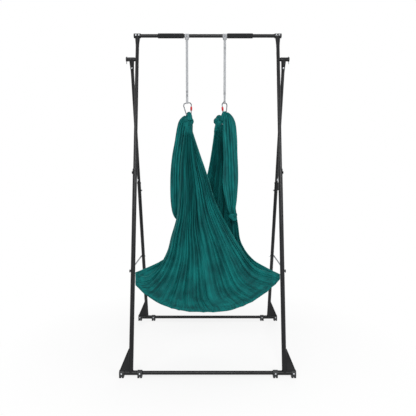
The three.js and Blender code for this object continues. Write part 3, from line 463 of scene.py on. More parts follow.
# The knitted cloth, and a lighter copy of it for its hems, a painted highlight where the cloth's edges catch
# the light
tricot = stretch_tricot("stretch_tricot", ("#084647", "#0e706e"))
selvedge_highlight = stretch_tricot("tricot_selvedge_highlight", ("#14605d", "#3f8c87"))

FINISH_OF = {"black_steel": coat, "black_plastic": plastic, "black_foam": foam, "bright_steel": plated,
             "grey_steel": strip, "red_aluminium": anodised, "grey_webbing": webbing, "teal_cloth": tricot}
SLOT_OF = {finish.name: slot for slot, finish in FINISH_OF.items()}
SLOT_OF.update({forged.name: "bright_steel", stitching.name: "grey_webbing", selvedge_highlight.name: "teal_cloth"})
slot_at = {part["node"]: part["material_slot"] for part in frame["record"]["subparts"]}
for name, thing in frame["nodes"].items():
    thing.data.materials.clear()
    thing.data.materials.append(FINISH_OF[slot_at[name]])


# Small hardware

def dome_bolt(radius):
    """A button head on its washer, with a hexagon socket: one profile turned round Z."""
    corners = [[0, -2], [radius + 1.6, -2], [radius + 1.6, 1.1], [radius, 1.3], [radius * 0.92, 2.8],
               [radius * 0.6, 4.3], [2.6, 4.7], [2.4, 2.2], [0, 2.2]]
    return turned(filleted(corners, 0.5), 32)


def hex_nut(radius, height, start):
    """A hexagon nut: its reach is the flat's distance over the cosine of the angle from the flat's middle."""
    flat = np.pi / 3
    wave = lambda a: math.cos(flat / 2) / np.cos((a % flat) - flat / 2)
    corners = [[0, start], [radius * 0.93, start], [radius, start + 0.5], [radius, start + height - 0.5],
               [radius * 0.93, start + height], [0, start + height]]
    return turned(corners, 60, wave)


def hand_knob(radius, height, start):
    """A six-lobed knob with a dished top: its rim reaches r (1 - 0.06 (1 + cos 6a)) of a rounded profile."""
    wave = lambda a: 1 - 0.06 * (1 + np.cos(6 * a))
    rim = filleted([[0, 0], [radius * 0.72, 0], [radius * 0.98, height * 0.22], [radius, height * 0.75],
                    [radius * 0.78, height], [radius * 0.46, height]], 1.6)
    dish = filleted([[radius * 0.46, height], [radius * 0.4, height - 0.8], [0, height - 0.8]], 0.5)
    return moved(np.concatenate([turned(rim, 96, wave), turned(dish, 96)]), z=start)


def weld_bead(leg_radius):
    """A ring of weld round the foot of a leg: it follows the line where two crossing tubes meet,
    z = sqrt(R^2 - (r sin t)^2), with 30 ripples, about 4 mm long."""
    t = round_angles(120)[:, None]
    height = np.sqrt(BASE_CORNER[0] ** 2 - (leg_radius * np.sin(t)) ** 2)
    ripple = 1 + 0.12 * np.sin(30 * t)
    ring = circle(WELD, 10)
    radial = leg_radius + ring[:, 0] * ripple
    return looped(spread(radial * np.cos(t), radial * np.sin(t), height + ring[:, 1] * ripple))


def neck(tube_radius, half_width, half_depth, drop):
    """A neck that flattens upwards from a round tube to a wide oval, (a sin t, b cos t) at each height, where
    both half sizes are eased."""
    share = np.concatenate([[0], np.linspace(0, 1, 24), [1]])[:, None]
    shut = np.concatenate([[0], np.ones(24), [0]])[:, None]
    t = round_angles(56)
    halves = (half_width, half_depth)
    wide, deep = (shut * (tube_radius + (half - tube_radius) * eased(share)) for half in halves)
    return spread(wide * np.sin(t), deep * np.cos(t), -drop * (1 - share))


def slab(outline, start, end, edge=1.0):
    """A flat piece along X from an outline in Y and Z: within an edge's width of each face the outline
    shrinks towards its middle by 1 - sqrt(1 - s^2) of that width, and each face closes in its middle."""
    middle = outline.mean(axis=0)
    s = np.linspace(1, 0, 5)
    inset = edge * (1 - np.sqrt(1 - s ** 2)) / np.abs(outline - middle).max()
    scale = np.concatenate([[0], 1 - inset, 1 - inset[::-1], [0]])
    reach = np.concatenate([[start], start + edge * (1 - s), end - edge * (1 - s[::-1]), [end]])
    shape = middle + (outline - middle) * scale[:, None, None]
    return spread(reach[:, None], shape[..., 0], shape[..., 1])


def foot_shapes(x, y):
    """A foot at a place along the base: a body with a ring round the tube, and two prongs under it."""
    half, body_low, prong_top, end_x = 22, -26, -25, 19
    t = np.linspace(math.radians(-16), math.radians(196), 40)
    ring = FOOT_FACE * np.stack([np.cos(t), np.sin(t)], axis=1)
    body = np.concatenate([[[-half, body_low], [half, body_low]], ring])
    prong = rounded_box(-half, -BASE_HEIGHT, half, prong_top, 2)
    parts = [slab(body, -end_x, end_x), slab(prong, -end_x, -3, 0.8), slab(prong, 3, end_x, 0.8)]
    return [moved(part, x, y, BASE_HEIGHT) for part in parts]


def tube_pair(end, name, hand, place, joint, lower, upper, top):
    """The two tubes of an upright or a leg: the lower one has a weld round its foot and a lip at the joint,
    16 mm high and 2 mm out, and the upper one stands in it."""
    radius, bore = lower
    lip, lip_start = radius + 2, joint - 16
    profile = filleted([[bore, 0], [radius, 0], [radius, lip_start], [lip, lip_start], [lip, joint],
                        [bore, joint]], 0.9, True)
    lower_parts = turned(looped(profile), 56), weld_bead(radius)
    piece(f"{name}_lower_{hand}", [place(part) for part in lower_parts], coat, f"{end}_frame",
          [f"{end}_{name}_lower_{hand}"])
    piece(f"{name}_upper_{hand}", [place(pipe(*upper, joint - PLUG_DEPTH, top - SEAT_GAP))], coat,
          f"{end}_frame", [f"{end}_{name}_upper_{hand}"])


def copied(name, finish, width=1.2, body=None):
    """A node's own shape with its points merged, its flat faces joined and its edges rounded."""
    source = frame["nodes"][name].data
    points = np.empty(len(source.vertices) * 3, np.float32)
    source.vertices.foreach_get("co", points)
    corners = np.empty(len(source.loops), np.int32)
    source.loops.foreach_get("vertex_index", corners)
    keys, ids = np.unique(np.round(points.reshape(-1, 3), 6), axis=0, return_inverse=True)
    mesh = bpy.data.meshes.new(name + "_shape")
    mesh.from_pydata(keys.tolist(), [], ids.ravel()[corners].reshape(-1, 3).tolist())
    mesh.validate()
    thing = add_object(name + "_shape", mesh)
    flat = thing.modifiers.new("flat faces", "DECIMATE")
    flat.decimate_type = "DISSOLVE"
    flat.angle_limit = math.radians(1)
    soft = thing.modifiers.new("rounded edges", "BEVEL")
    soft.width = width * MM
    soft.segments = 3
    soft.limit_method = "ANGLE"
    soft.angle_limit = math.radians(35)
    mesh.shade_smooth()
    mesh.materials.append(finish)
    smooth = bpy.data.meshes.new_from_object(thing.evaluated_get(bpy.context.evaluated_depsgraph_get()))
    thing.modifiers.clear()
    thing.data = smooth
    smooth.name = name + "_shape"
    smooth.set_sharp_from_angle(angle=math.radians(40))
    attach(thing, body or name)
    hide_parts(name)


# Bases: a middle tube, and at each corner an end tube, two feet with their cross bolts and a gusset
CORNER_INWARD, CORNER_OUTWARD, CORNER_OVERLAP = 94, 92.7, 84
FOOT_STEPS = (("outer", 77), ("inner", -75))
FOOT_FACE = 23.5
for end, y, spacing, facing in (("front", FRONT_Y, FRONT_X, -1), ("rear", REAR_Y, REAR_X, 1)):
    body = end + "_frame"
    middle_end = spacing - CORNER_INWARD + CORNER_OVERLAP
    middle = crosswise(pipe(*BASE_MIDDLE, -middle_end, middle_end))
    piece(f"{end}_base_middle", [moved(middle, 0, y, BASE_HEIGHT)], coat, body, [f"{end}_base_middle_tube"])
    for hand, side in HANDS:
        corner = crosswise(pipe(*BASE_CORNER, -CORNER_INWARD, CORNER_OUTWARD), side)
        piece(f"{end}_base_corner_{hand}", [moved(corner, side * spacing, y, BASE_HEIGHT)], coat, body,
              [f"{end}_base_end_{hand}"])
        for where, step in FOOT_STEPS:
            x = side * (spacing + step)
            piece(f"{end}_pad_{where}_{hand}", foot_shapes(x, y), plastic, body,
                  [f"{end}_foot_{where}_{hand}"])
            head = facing_front(moved(dome_bolt(FOOT_BOLT), z=FOOT_FACE)) * (1, -facing, 1)
            nut = facing_front(hex_nut(*SMALL_NUT, FOOT_FACE - 1)) * (1, facing, 1)
            bolt = [moved(part, x, y, BASE_HEIGHT) for part in (head, nut)]
            piece(f"{end}_foot_bolt_{where}_{hand}", bolt, plated, body)
        copied(f"{end}_gusset_{hand}", coat, body=body)

# Front uprights, with the brackets that hold the bar, the knobs and the stubs that the rear frame hangs on
RING_START, RING_END = 88, 101
STAY_RUN = (STAY_STUD_Z - BASE_HEIGHT) / math.cos(FRONT_LEAN)
for hand, side in HANDS:
    on_tube = lambda grid: moved(swung(grid, X, -FRONT_LEAN), side * FRONT_X, FRONT_Y, BASE_HEIGHT)
    outwards = lambda grid, run: on_tube(moved(crosswise(grid, side), z=run))
    tube_pair("front", "upright", hand, on_tube, FRONT_JOINT, UPRIGHT_LOWER, UPRIGHT_UPPER,
              UPRIGHT_RUN - BRACKET_DROP)
    collar = on_tube(moved(neck(*BRACKET_NECK, BRACKET_DROP), z=UPRIGHT_RUN))
    sleeve = outwards(pipe(*BRACKET_SLEEVE, -31, 31, 1.4), UPRIGHT_RUN)
    piece(f"bar_bracket_{hand}", [collar, sleeve], coat, "front_frame", [f"top_bracket_{hand}"])
    bolt = facing_front(moved(dome_bolt(FRAME_BOLT), z=BRACKET_SLEEVE[0]))
    bolts = [on_tube(moved(bolt, x, 0, UPRIGHT_RUN)) for x in (-13.5, 13.5)]
    piece(f"bracket_bolts_{hand}", bolts, plated, "front_frame")

    knob = hand_knob(*JOINT_KNOB, UPRIGHT_LOWER[0] + SEAT_GAP)
    piece(f"joint_knob_{hand}", [outwards(knob, FRONT_JOINT - 32)], plastic, f"upright_knob_{hand}",
          [f"upright_knob_{hand}"])
    knob_parts = hand_knob(*STAY_KNOB, 23.6), rod(SHANK, 17, 26.8, 0.3, 24)
    piece(f"stay_clamp_knob_{hand}", [outwards(part, STAY_RUN) for part in knob_parts], plastic,
          f"stay_knob_{hand}", [f"stay_knob_{hand}"])

    stub_parts = rod(12, 8, RING_END, 1.2), rod(16.5, 4, 21, 1.2)
    piece(f"hinge_stub_{hand}", [outwards(part, HINGE_RUN) for part in stub_parts], coat, "front_frame",
          [f"hinge_axle_{hand}"])
    ring = outwards(pipe(*HINGE_RING, RING_START, RING_END, 1.5), HINGE_RUN)
    piece(f"hinge_ring_{hand}", [ring], coat, "front_frame", [f"hinge_collar_{hand}"])
    # the pin hangs through the ring's middle, with a wire loop through its top
    pin_x = side * (RING_START + RING_END) / 2
    pin = moved(rod(3, -44, 20, 1.6, 24), pin_x, 0, HINGE_RUN)
    loop = turned(looped(circle(1.1, 10)[:, ::-1] + (7, 0)))
    loop = moved(crosswise(loop), pin_x, 0, HINGE_RUN + 20.5)
    piece(f"hinge_ring_pin_{hand}", [on_tube(pin), on_tube(loop)], forged, "front_frame")

# The top bar, its end caps and its foam grips
on_bar = lambda grid, side=1: moved(swung(crosswise(grid, side), X, -FRONT_LEAN), 0, BAR_Y, BAR_Z)
BAR_END, CAP_RIM, CAP_FACE, CAP_PLUG = 671, 21, 674.8, 13.7
GRIPS = (("left", -454, -219), ("right", 179, 412))
piece("pull_up_bar", [on_bar(pipe(*BAR_TUBE, -BAR_END, BAR_END))], coat, "front_frame", ["top_bar"])
for hand, side in HANDS:
    seat = BAR_END + SEAT_GAP
    cap = filleted([[0, BAR_END - 16], [CAP_PLUG, BAR_END - 16], [CAP_PLUG, seat], [CAP_RIM, seat],
                    [CAP_RIM, CAP_FACE - 1.4], [CAP_RIM - 4, CAP_FACE], [0, CAP_FACE]], 0.8)
    piece(f"bar_end_cap_{hand}", [on_bar(turned(cap, 56), side)], plastic, "front_frame",
          [f"top_bar_cap_{hand}"])
for hand, start, stop in GRIPS:
    piece(f"foam_grip_{hand}", [on_bar(pipe(*GRIP_TUBE, start, stop, 3.0, 64))], foam, "front_frame",
          [f"grip_{hand}"])

# Rear legs, with their hinge barrels, pins and stay bolts
PIN_RUN = REAR_JOINT - 86
PIVOT_RUN = (STAY_PIVOT_Z - BASE_HEIGHT) / math.cos(REAR_LEAN)
LEG_FACE = LEG_LOWER[0] + SEAT_GAP
for hand, side in HANDS:
    on_tube = lambda grid: moved(swung(grid, X, REAR_LEAN), side * REAR_X, REAR_Y, BASE_HEIGHT)
    outwards = lambda grid, run: on_tube(moved(crosswise(grid, side), z=run))
    inwards = lambda grid, run: on_tube(moved(crosswise(grid, -side), z=run))
    tube_pair("rear", "leg", hand, on_tube, REAR_JOINT, LEG_LOWER, LEG_UPPER, REAR_RUN - TEE_DROP)
    collar = on_tube(moved(neck(*TEE_NECK, TEE_DROP), z=REAR_RUN))
    barrel = outwards(pipe(*HINGE_BARREL, -28.7, 37.7, 1.4), REAR_RUN)
    piece(f"leg_hinge_tee_{hand}", [collar, barrel], coat, "rear_frame", [f"hinge_barrel_{hand}"])
    if hand == "right":
        rail = moved(slab(plate_section(16, 84, 7), 14, 33, 2.5), z=REAR_JOINT - 44)
        piece("leg_joint_rail", [on_tube(rail)], plastic, "rear_frame")
    bolt = swung(facing_front(moved(dome_bolt(JOINT_BOLT), z=14.8)), Z, side * math.radians(40))
    piece(f"leg_joint_bolt_{hand}", [on_tube(moved(bolt, z=REAR_JOINT + 28))], plated, "rear_frame")
    bolt_parts = (facing_front(moved(dome_bolt(FRAME_BOLT), z=15.6)),
                  facing_front(hex_nut(*SMALL_NUT, 15)) * (1, -1, 1))
    piece(f"hinge_tee_bolt_{hand}", [on_tube(moved(part, z=REAR_RUN - 75)) for part in bolt_parts], plated,
          "rear_frame")

    ridges = lambda a: 1 - 0.025 * (1 + np.cos(24 * a))
    head = filleted([[0, 23], [5.2, 23], [6.5, 24.2], [6.5, 28.6], [5.4, 29.8], [0, 29.8]], 0.6)
    pin_parts = rod(SHANK, 13, 24, 0.4, 24), turned(head, 96, ridges)
    piece(f"spring_pin_{hand}", [inwards(part, PIN_RUN) for part in pin_parts], plated,
          f"rear_leg_pin_{hand}", [f"rear_leg_pin_{hand}"])
    boss = inwards(rod(8, LEG_FACE, 23.6, 0.8, 40), PIN_RUN)
    piece(f"spring_pin_boss_{hand}", [boss], plastic, f"rear_leg_pin_{hand}")

    pivot_parts = (rod(SHANK, -31.5, 29.1, 0.5, 24), rod(LARGE_NUT[0], LEG_FACE, 19.4, 0.4),
                   hex_nut(*LARGE_NUT, 23.6), hex_nut(*LARGE_NUT, -23.3))
    piece(f"stay_pivot_bolt_{hand}", [outwards(part, PIVOT_RUN) for part in pivot_parts], plated,
          "rear_frame", [f"stay_bolt_{hand}"])
    copied(f"side_stay_{hand}", strip, 0.5)

# Carabiners: a wire of one thickness round a pear shape, a gate on a pin in its heel, and a lock sleeve
WIRE, GATE_RADIUS = 5.0, 4.5
CARABINER_LENGTH = 112
NOSE, HEEL = np.array([35, 0, -24.0]), np.array([25, 0, -88.0])
SLEEVE_LENGTH, SLEEVE_BORE = 36, 4.8
GATE_PIN_UP = 4.8
STRAP_DROP = 603
CARABINER_TOP = BAR_Z - STRAP_DROP
# where each strap hangs, its gate's side, the turn and tilt of its carabiner, and its bar tacks' heights
STRAPS = {"left": (-190, 1, 0.0, -math.radians(8), (-505, -540)),
          "right": (157, -1, math.radians(50), 0.0, (-110, -520))}


def wire_path(side):
    """A carabiner's centre line in its own plane, from the gate's nose round the spine to the gate's heel."""
    along = unit(NOSE - HEEL) * WIRE
    tab, heel_tab = NOSE + along, HEEL - along
    shoulder, foot = NOSE * (-1, 1, 1), HEEL * (-1, 1, 1)
    top_right, top_left, bottom = [14, 0, 0], [-14, 0, 0], [0, 0, -CARABINER_LENGTH]
    rows = [np.linspace(NOSE, tab, 4), bezier([tab, [32.5, 0, 0], top_right], 20),
            np.linspace(top_right, top_left, 10), bezier([top_left, [-35, 0, 0], shoulder], 20),
            np.linspace(shoulder, foot, 16), bezier([foot, [-20, 0, -CARABINER_LENGTH], bottom], 20),
            bezier([bottom, [20, 0, -CARABINER_LENGTH], heel_tab], 20), np.linspace(heel_tab, HEEL, 4)]
    return np.concatenate([row[:-1] for row in rows] + [rows[-1][-1:]]) * (side, 1, 1)


def lock_sleeve(start):
    """A knurled barrel along Z, with a bore: its reach bulges by sin(pi h)^0.5, with crossed ridges |sin| of
    12 turns and a groove round its middle."""
    a, h = np.meshgrid(round_angles(120), np.linspace(0, 1, 90))
    ease = np.clip(np.minimum(h, 1 - h) * 12 - 0.6, 0, 1)
    knurl = np.abs(np.sin(12 * a + 22 * h)) + np.abs(np.sin(12 * a - 22 * h))
    groove = 0.5 * np.exp(-((h - 0.5) / 0.02) ** 2)
    radius = 7.4 + 1.4 * np.sin(np.pi * h) ** 0.5 + 0.3 * ease * (knurl - 0.6) - groove
    radius = np.concatenate([radius, np.full((2, 120), SLEEVE_BORE)])
    height = start + SLEEVE_LENGTH * np.concatenate([h, np.ones((1, 120)), np.zeros((1, 120))])
    angle = np.concatenate([a, a[:2]])
    return looped(spread(radius * np.cos(angle), radius * np.sin(angle), height))


def add_carabiner(hand, side, hang):
    """A carabiner's wire, its gate with the pin it swings on, and the sleeve round the gate's middle."""
    path = wire_path(side)
    wire = capped(swept(path, circle(WIRE, 24), (0, 1, 0)), path, rim=0.001)
    piece(f"carabiner_wire_{hand}", [hang(wire)], forged, "sling", [f"carabiner_{hand}"])

    heel, nose = HEEL * (side, 1, 1), NOSE * (side, 1, 1)
    length = np.linalg.norm(nose - heel)
    lean = math.atan2(nose[0] - heel[0], nose[2] - heel[2])
    on_gate = lambda grid: hang(moved(swung(grid, Y, lean), *heel))
    arc = np.linspace(0, np.pi / 2, 10)[:-1]
    round_end = np.stack([GATE_RADIUS * np.sin(arc), GATE_PIN_UP - GATE_RADIUS * np.cos(arc)], axis=1)
    top = length - 0.5
    rest = filleted([[GATE_RADIUS, GATE_PIN_UP], [GATE_RADIUS, top], [0, top]], 0.8)
    gate = turned(np.concatenate([round_end, rest]), 40)
    hinge_pin = moved(facing_front(rod(1.6, -5.6, 5.6, 0.4, 20)), z=GATE_PIN_UP)
    piece(f"gate_bar_{hand}", [on_gate(gate), on_gate(hinge_pin)], forged,
          f"carabiner_gate_{hand}", [f"carabiner_gate_{hand}"])
    sleeve = lock_sleeve((length - SLEEVE_LENGTH) / 2)
    piece(f"knurled_sleeve_{hand}", [on_gate(sleeve)], anodised, f"lock_sleeve_{hand}",
          [f"lock_sleeve_{hand}"], sharp=60)


def hitch():
    """The hitch: two turns side by side round the bar, and four strands that draw them together below it."""
    around = round_angles(96)[:, None]
    outline = rounded_box(-9.4, 16.4, 9.4, 18.9, 0.8)
    reach = outline[:, 1] + 0.3 * np.sin(3 * around)
    shapes = []
    for side in (-1, 1):
        turns = side * 10.2 + outline[:, 0] - side * 1.6 * np.sin(around)
        shapes.append(looped(spread(turns, reach * np.cos(around), reach * np.sin(around))))
    for side in (-1, 1):
        for face in (-1, 1):
            path = bezier([[side * 10, 17.6 * face, -3], [side * 10, 18 * face, -14],
                           [side * 7.6, 12 * face, -24], [side * 6, 5 * face, -32]], 16)
            shapes.append(capped(swept(path, plate_section(15, 2.4), (1, 0, 0)), path))
    return shapes


def add_strap(hand, turn, tack_heights, put):
    """A strap, an endless loop of webbing: both of its runs hang side by side from the hitch, turn with the
    carabiner above the eye and pass round its wire. A keeper below the bar and bar tacks join them."""
    down = np.linspace(0, 1, 70)
    twist = turn * eased(np.clip((down - 0.72) / 0.26, 0, 1))
    wide = spread(np.cos(twist), np.sin(twist), 0)
    out = spread(-np.sin(twist), np.cos(twist), 0)
    top, bottom = -14, -STRAP_DROP
    eye_gap = 1.3 + 5.2 * np.clip((down - 0.95) / 0.05, 0, 1) ** 1.5
    apart = eye_gap + 17 * np.exp(-(down * STRAP_DROP / 26) ** 2)
    centre = spread(0, 0, top + (bottom - top) * down)
    front_run, back_run = (centre + face * out * apart[:, None] for face in (-1, 1))
    eye_t = np.linspace(0, np.pi, 22)[1:-1, None]
    eye = 6.5 * (-out[-1] * np.cos(eye_t) - np.array([0, 0, 1.0]) * np.sin(eye_t)) + (0, 0, bottom)
    line = np.concatenate([front_run, eye, back_run[::-1]])
    across = np.concatenate([wide, np.broadcast_to(wide[-1], eye.shape), wide[::-1]])
    narrow = 1 - 0.18 * np.exp(-((np.linspace(-1, 1, len(line)) ** 2 - 1) / 0.06) ** 2)
    section = plate_section(22, 2.2, 0.7) * np.stack([narrow, 1 + 0 * narrow], axis=1)[:, None]

    t = round_angles(72)
    collar = spread(15.5 * np.cos(t), 8.5 * np.sin(t) - 1, 5 * np.cos(2 * t) - 27)
    closed_path = np.concatenate([collar[-1:], collar, collar[:1]])
    keeper = looped(swept(closed_path, plate_section(15, 2.6), (0, 0, 1))[1:-1])
    # the keeper round the strands just below the hitch takes the darker thread finish, a dark band there
    piece(f"strap_keeper_{hand}", [put(keeper)], stitching, "sling")
    shapes = [capped(swept(line, section, across), line), *hitch()]
    piece(f"webbing_strap_{hand}", [put(shape) for shape in shapes], webbing, "sling", [f"strap_{hand}"],
          sharp=60)

    # each bar tack is five rows of zigzag stitches on both faces
    stitches = []
    t = np.linspace(-8.5, 8.5, 60)
    for height in tack_heights:
        k = int((height - top) / (bottom - top) * (len(down) - 1))
        lift = apart[k] + 1.35 + 0.25 * np.abs(np.sin(t * 1.4))[:, None]
        for row in range(5):
            path = centre[k] + np.outer(t, wide[k]) + (0, 0, 4.0 * (row - 2))
            for face in (-1, 1):
                thread = swept(path + out[k] * face * lift, circle(0.55, 6), (0, 0, 1))
                stitches.append(skin(put(thread), closed=False))
    piece(f"bar_tack_{hand}", stitches, stitching, "sling", sharp=80)


for hand, (x, side, turn, tilt, tack_heights) in STRAPS.items():
    hang = lambda grid: moved(swung(swung(grid, Y, tilt), Z, turn), x, BAR_Y, CARABINER_TOP)
    add_carabiner(hand, side, hang)
    add_strap(hand, turn, tack_heights, lambda grid: moved(grid, x, BAR_Y, BAR_Z))


# The hammock. Its edges are lines through shares of the way from a gathered end across to a tip, and down to
# the bottom; the tips lie forward on a cone whose apex is PULL in front, at the height PULL_Z
SPAN, PULL, PULL_Z = 697.0, 4249.0, 1780.0
TIP_CURL = PULL * (1 - 653 / SPAN)
BOTTOM_Z = 337.0
FLAT_WIDTH, FLAT_LENGTH = 1550, 3300
TIPS = np.array([[-SPAN, 730.0], [SPAN, 712.0]])
TIP_SHARE = 1 / 11
GATHER = {-1: (-178.0, 2079.8), 1: (104.0, 2121.0)}
GATHER_HALF = 34
EDGE_SHARES = {
    -1: ([[0, 0], [0.078, 0.156], [0.105, 0.31], [0.163, 0.46], [0.275, 0.57], [0.365, 0.66], [0.56, 0.752],
          [0.8, 0.799]],
         [[0, 0], [0.078, 0.115], [0.168, 0.241], [0.25, 0.373], [0.365, 0.487], [0.525, 0.62],
          [0.718, 0.743]]),
    1: ([[0, 0], [0.039, 0.124], [0.091, 0.247], [0.183, 0.387], [0.326, 0.522], [0.508, 0.662],
         [0.73, 0.73]],
        [[0, 0], [0.093, 0.152], [0.165, 0.292], [0.222, 0.415], [0.272, 0.522], [0.335, 0.623],
         [0.558, 0.715]]),
}
# depths of the belly and of its folds: main ones, broad ones at the bottom, and those drawn towards the tips
BELLY, BOTTOM_GAP = 105, 2.3
MAIN_FOLD, SHARED_FOLD, DRAWN_FOLD = 17, 15, 17
FINE_FOLDS, FINE_SHARE, FINE_LIMIT = 16, 1.8, 30


def edge_line(layer, hand, drop):
    """One edge of a layer at each drop, a smooth line through its shares to the tip."""
    gather_x, gather_z = GATHER[layer]
    shares = np.array(EDGE_SHARES[layer][hand])
    start = gather_x + (GATHER_HALF if hand else -GATHER_HALF)
    points = np.stack([start + (TIPS[hand, 0] - start) * shares[:, 0],
                       gather_z + (BOTTOM_Z - gather_z) * shares[:, 1]], axis=1)
    return smooth_line(np.concatenate([points, TIPS[hand:hand + 1]]), drop)


def bottom_line(share):
    """The bottom edge: z = bottom + rise |a|^p, with a from -1 to 1 across, and up the end of each tip."""
    a = np.clip((share - TIP_SHARE) / (1 - 2 * TIP_SHARE), 0, 1) * 2 - 1
    z = BOTTOM_Z + np.where(a < 0, 267 * np.abs(a) ** 2.8, 323 * np.abs(a) ** 2.35)
    climb = np.maximum(0, 1 - np.minimum(share, 1 - share) / TIP_SHARE)
    return np.stack([a * SPAN, z + (np.where(a < 0, TIPS[0, 1], TIPS[1, 1]) - z) * climb], axis=-1)


def crests(share, count, phase, drift=0.0):
    """Folds of uneven width with round crests and narrow valleys: |sin(pi w)|^0.8 less its mean, where w is
    the share times the count, warped by slower sines."""
    slow = 0.5 * np.sin(2 * np.pi * (2.3 * share + phase))
    slow = slow + 0.3 * np.sin(2 * np.pi * (5.1 * share + 0.3 + phase))
    return np.abs(np.sin(np.pi * (share * count + slow + drift))) ** 0.8 - 0.67


def cloth_layer(layer, share, drop):
    """A point of the cloth for a share across and a drop from the gathered end, in millimetres.

    Rows run between the two edges, and take on the bottom line by the cube of the drop. The two layers stand
    apart by the belly times sin(pi d)^1.2, folds lie on them, and the tips come forward by their place
    squared."""
    left, right = edge_line(layer, 0, drop), edge_line(layer, 1, drop)
    s, d = share[..., None], drop[..., None]
    flat = left + (right - left) * s + d ** 3 * (bottom_line(share) - (TIPS[0] + (TIPS[1] - TIPS[0]) * s))
    width = np.linalg.norm(right - left, axis=-1)
    closing = 1 - (2 * share - 1) ** 6 * (0.75 + 0.25 * drop)
    belly = BELLY * np.sin(np.pi * np.minimum(1, drop * 1.02)) ** 1.2 * closing
    apart = BOTTOM_GAP * np.minimum(1, (1 - drop) * 12)
    main = MAIN_FOLD * np.cos(10 * np.pi * share) * (1 - 0.75 * drop) * np.minimum(1, 0.5 + drop)
    main = main * np.cos(np.pi / 2 * drop ** 6)
    # fine folds are as deep as their width allows, and give way to broad soft ones towards the bottom
    phase = 0.0 if layer < 0 else 0.37
    fine_depth = np.minimum(width / FINE_FOLDS * (FINE_SHARE * (1 - drop) ** 0.7 + 0.12), FINE_LIMIT)
    fine = crests(share, FINE_FOLDS, phase, 0.3 * np.sin(2 * np.pi * (1.7 * share + 0.8 * drop)))
    fine = fine * fine_depth * (0.5 + 0.5 * np.clip(drop / 0.12, 0, 1))
    broad = crests(share + 0.05 * drop, 7, phase + 0.2) * width * 0.045 * np.sin(np.pi * drop) ** 0.5
    still = np.clip(12 * np.minimum(share, 1 - share), 0, 1) ** 0.5
    limit = belly * 0.72 + apart + 20 * np.clip(1 - drop / 0.25, 0, 1)
    folds = limit * np.tanh((fine + broad) * (0.3 + 0.7 * still) / np.maximum(limit, 1e-6))
    # near the tips the cloth is drawn sideways: both layers share folds that run along the rows
    drawn = np.abs(2 * share - 1) ** 1.5 * np.clip((drop - 0.45) / 0.3, 0, 1)
    drawn = drawn * np.clip((1 - drop) / 0.05, 0, 1)
    together = SHARED_FOLD * drop ** 2.5 * crests(share, 12, 0.15) * still
    together = together + DRAWN_FOLD * drawn * crests(drop, 9, 0.4, 0.8 * share)
    fall = np.clip((PULL_Z - flat[..., 1]) / (PULL_Z - TIPS[0, 1]), 0, 1)
    curl = TIP_CURL * fall * (flat[..., 0] / SPAN) ** 2
    kept = 1 - curl / PULL
    y = BAR_Y + layer * (belly + apart + folds) + main + together - curl
    return spread(flat[..., 0] * kept, y, PULL_Z + (flat[..., 1] - PULL_Z) * kept)


share, drop = np.meshgrid(np.linspace(0, 1, 301), np.sin(np.linspace(0, np.pi / 2, 151)) ** 1.15)
front_grid, back_grid = cloth_layer(-1, share, drop), cloth_layer(1, share, drop)
bottom_row = (front_grid[-1:] + back_grid[-1:]) / 2
cloth_grid = np.concatenate([front_grid[:-1], bottom_row, back_grid[-2::-1]])
u, v = np.meshgrid(share[0] * FLAT_WIDTH, np.linspace(0, FLAT_LENGTH, len(cloth_grid)))
cloth_skin = skin(cloth_grid, np.stack([u, v], axis=-1), closed=False)
cloth = piece("hammock_sheet", [cloth_skin], tricot, "sling", ["hammock_cloth"], sharp=180)
hem_lines = cloth_grid[:, 0], cloth_grid[:, -1]
hem_tubes = [capped(swept(line, circle(2.6, 8), (0, 1, 0.01)), line) for line in hem_lines]
# the hems take the lighter copy of the cloth: a painted highlight along both edges of the cloth
hems = piece("hammock_hems", hem_tubes, selvedge_highlight, "sling", sharp=180)


def bundle(path, half_wide, half_deep, ridges, depth, sides, across=(1, 0, 0), swirl=0.0, phase=0.0,
           fray=0.0):
    """Gathered cloth along a path in the bar's plane: an oval section whose reach is 1 + depth times uneven
    pleats of its angle, which swirl slowly along the path. Pleats end at their own heights: each point moves
    on along the path by fray times its pleat, by the cube of its place."""
    t = round_angles(sides)
    along = np.linspace(0, 1, len(path))[:, None]
    angle = t + swirl * along
    warp = ridges / 2 * angle + 0.8 * np.sin(angle * 2 + phase) + 0.6 * np.sin(angle * 3 + 2 * phase)
    wave = np.abs(np.sin(warp)) ** 0.8 - 0.67 + 0.2 * np.sin(3 * angle + 5 * along)
    reach = 1 + depth * wave
    wide, deep = (np.broadcast_to(half, len(path))[:, None] for half in (half_wide, half_deep))
    section = np.stack([wide * reach * np.cos(t), deep * reach * np.sin(t)], axis=-1)
    tangent, _, _ = frames_along(path, across)
    tube = swept(path, section, across) + fray * (wave * along ** 3)[..., None] * tangent[:, None]
    return moved(capped(tube, path), y=BAR_Y)


def cloth_arch(points, wide, deep):
    """The cloth on its way through a carabiner, wider towards both ends by the place squared."""
    widening = np.linspace(-1, 1, 60) ** 2
    return bundle(bezier(points, 60), wide + 8 * widening, deep + 5 * widening, 10, 0.3, swirl=0.6, sides=96)


def cloth_neck(points, wide, deep):
    """The gathered cloth that leaves a knot downwards, and frays into the sheet."""
    down = np.linspace(0, 1, 40)
    half_wide, half_deep = wide + (37 - wide) * down, deep - (deep - 3) * down ** 2.5
    return bundle(smooth_line(points, down), half_wide, half_deep, 24, 0.5, sides=160, fray=45)


def cloth_knot(centre, size, thickness, phase, tilt=0.0):
    """An overhand knot of gathered cloth: a trefoil line (sin t + 2 sin 2t, -1.5 sin 3t, cos t - 2 cos 2t)/3,
    tilted and scaled to the knot's half sizes, with a pleated tube along it."""
    t = np.linspace(0, 2 * np.pi, 150)
    line = spread(np.sin(t) + 2 * np.sin(2 * t), -1.5 * np.sin(3 * t), np.cos(t) - 2 * np.cos(2 * t)) / 3
    path = swung(line, Y, -tilt) * size + centre
    across = np.cross(np.gradient(path, axis=0), np.array([0.2, 1.0, 0.1]))
    return bundle(path, thickness, thickness * 0.85, 6, 0.5, 72, across, swirl=2.0, phase=phase)


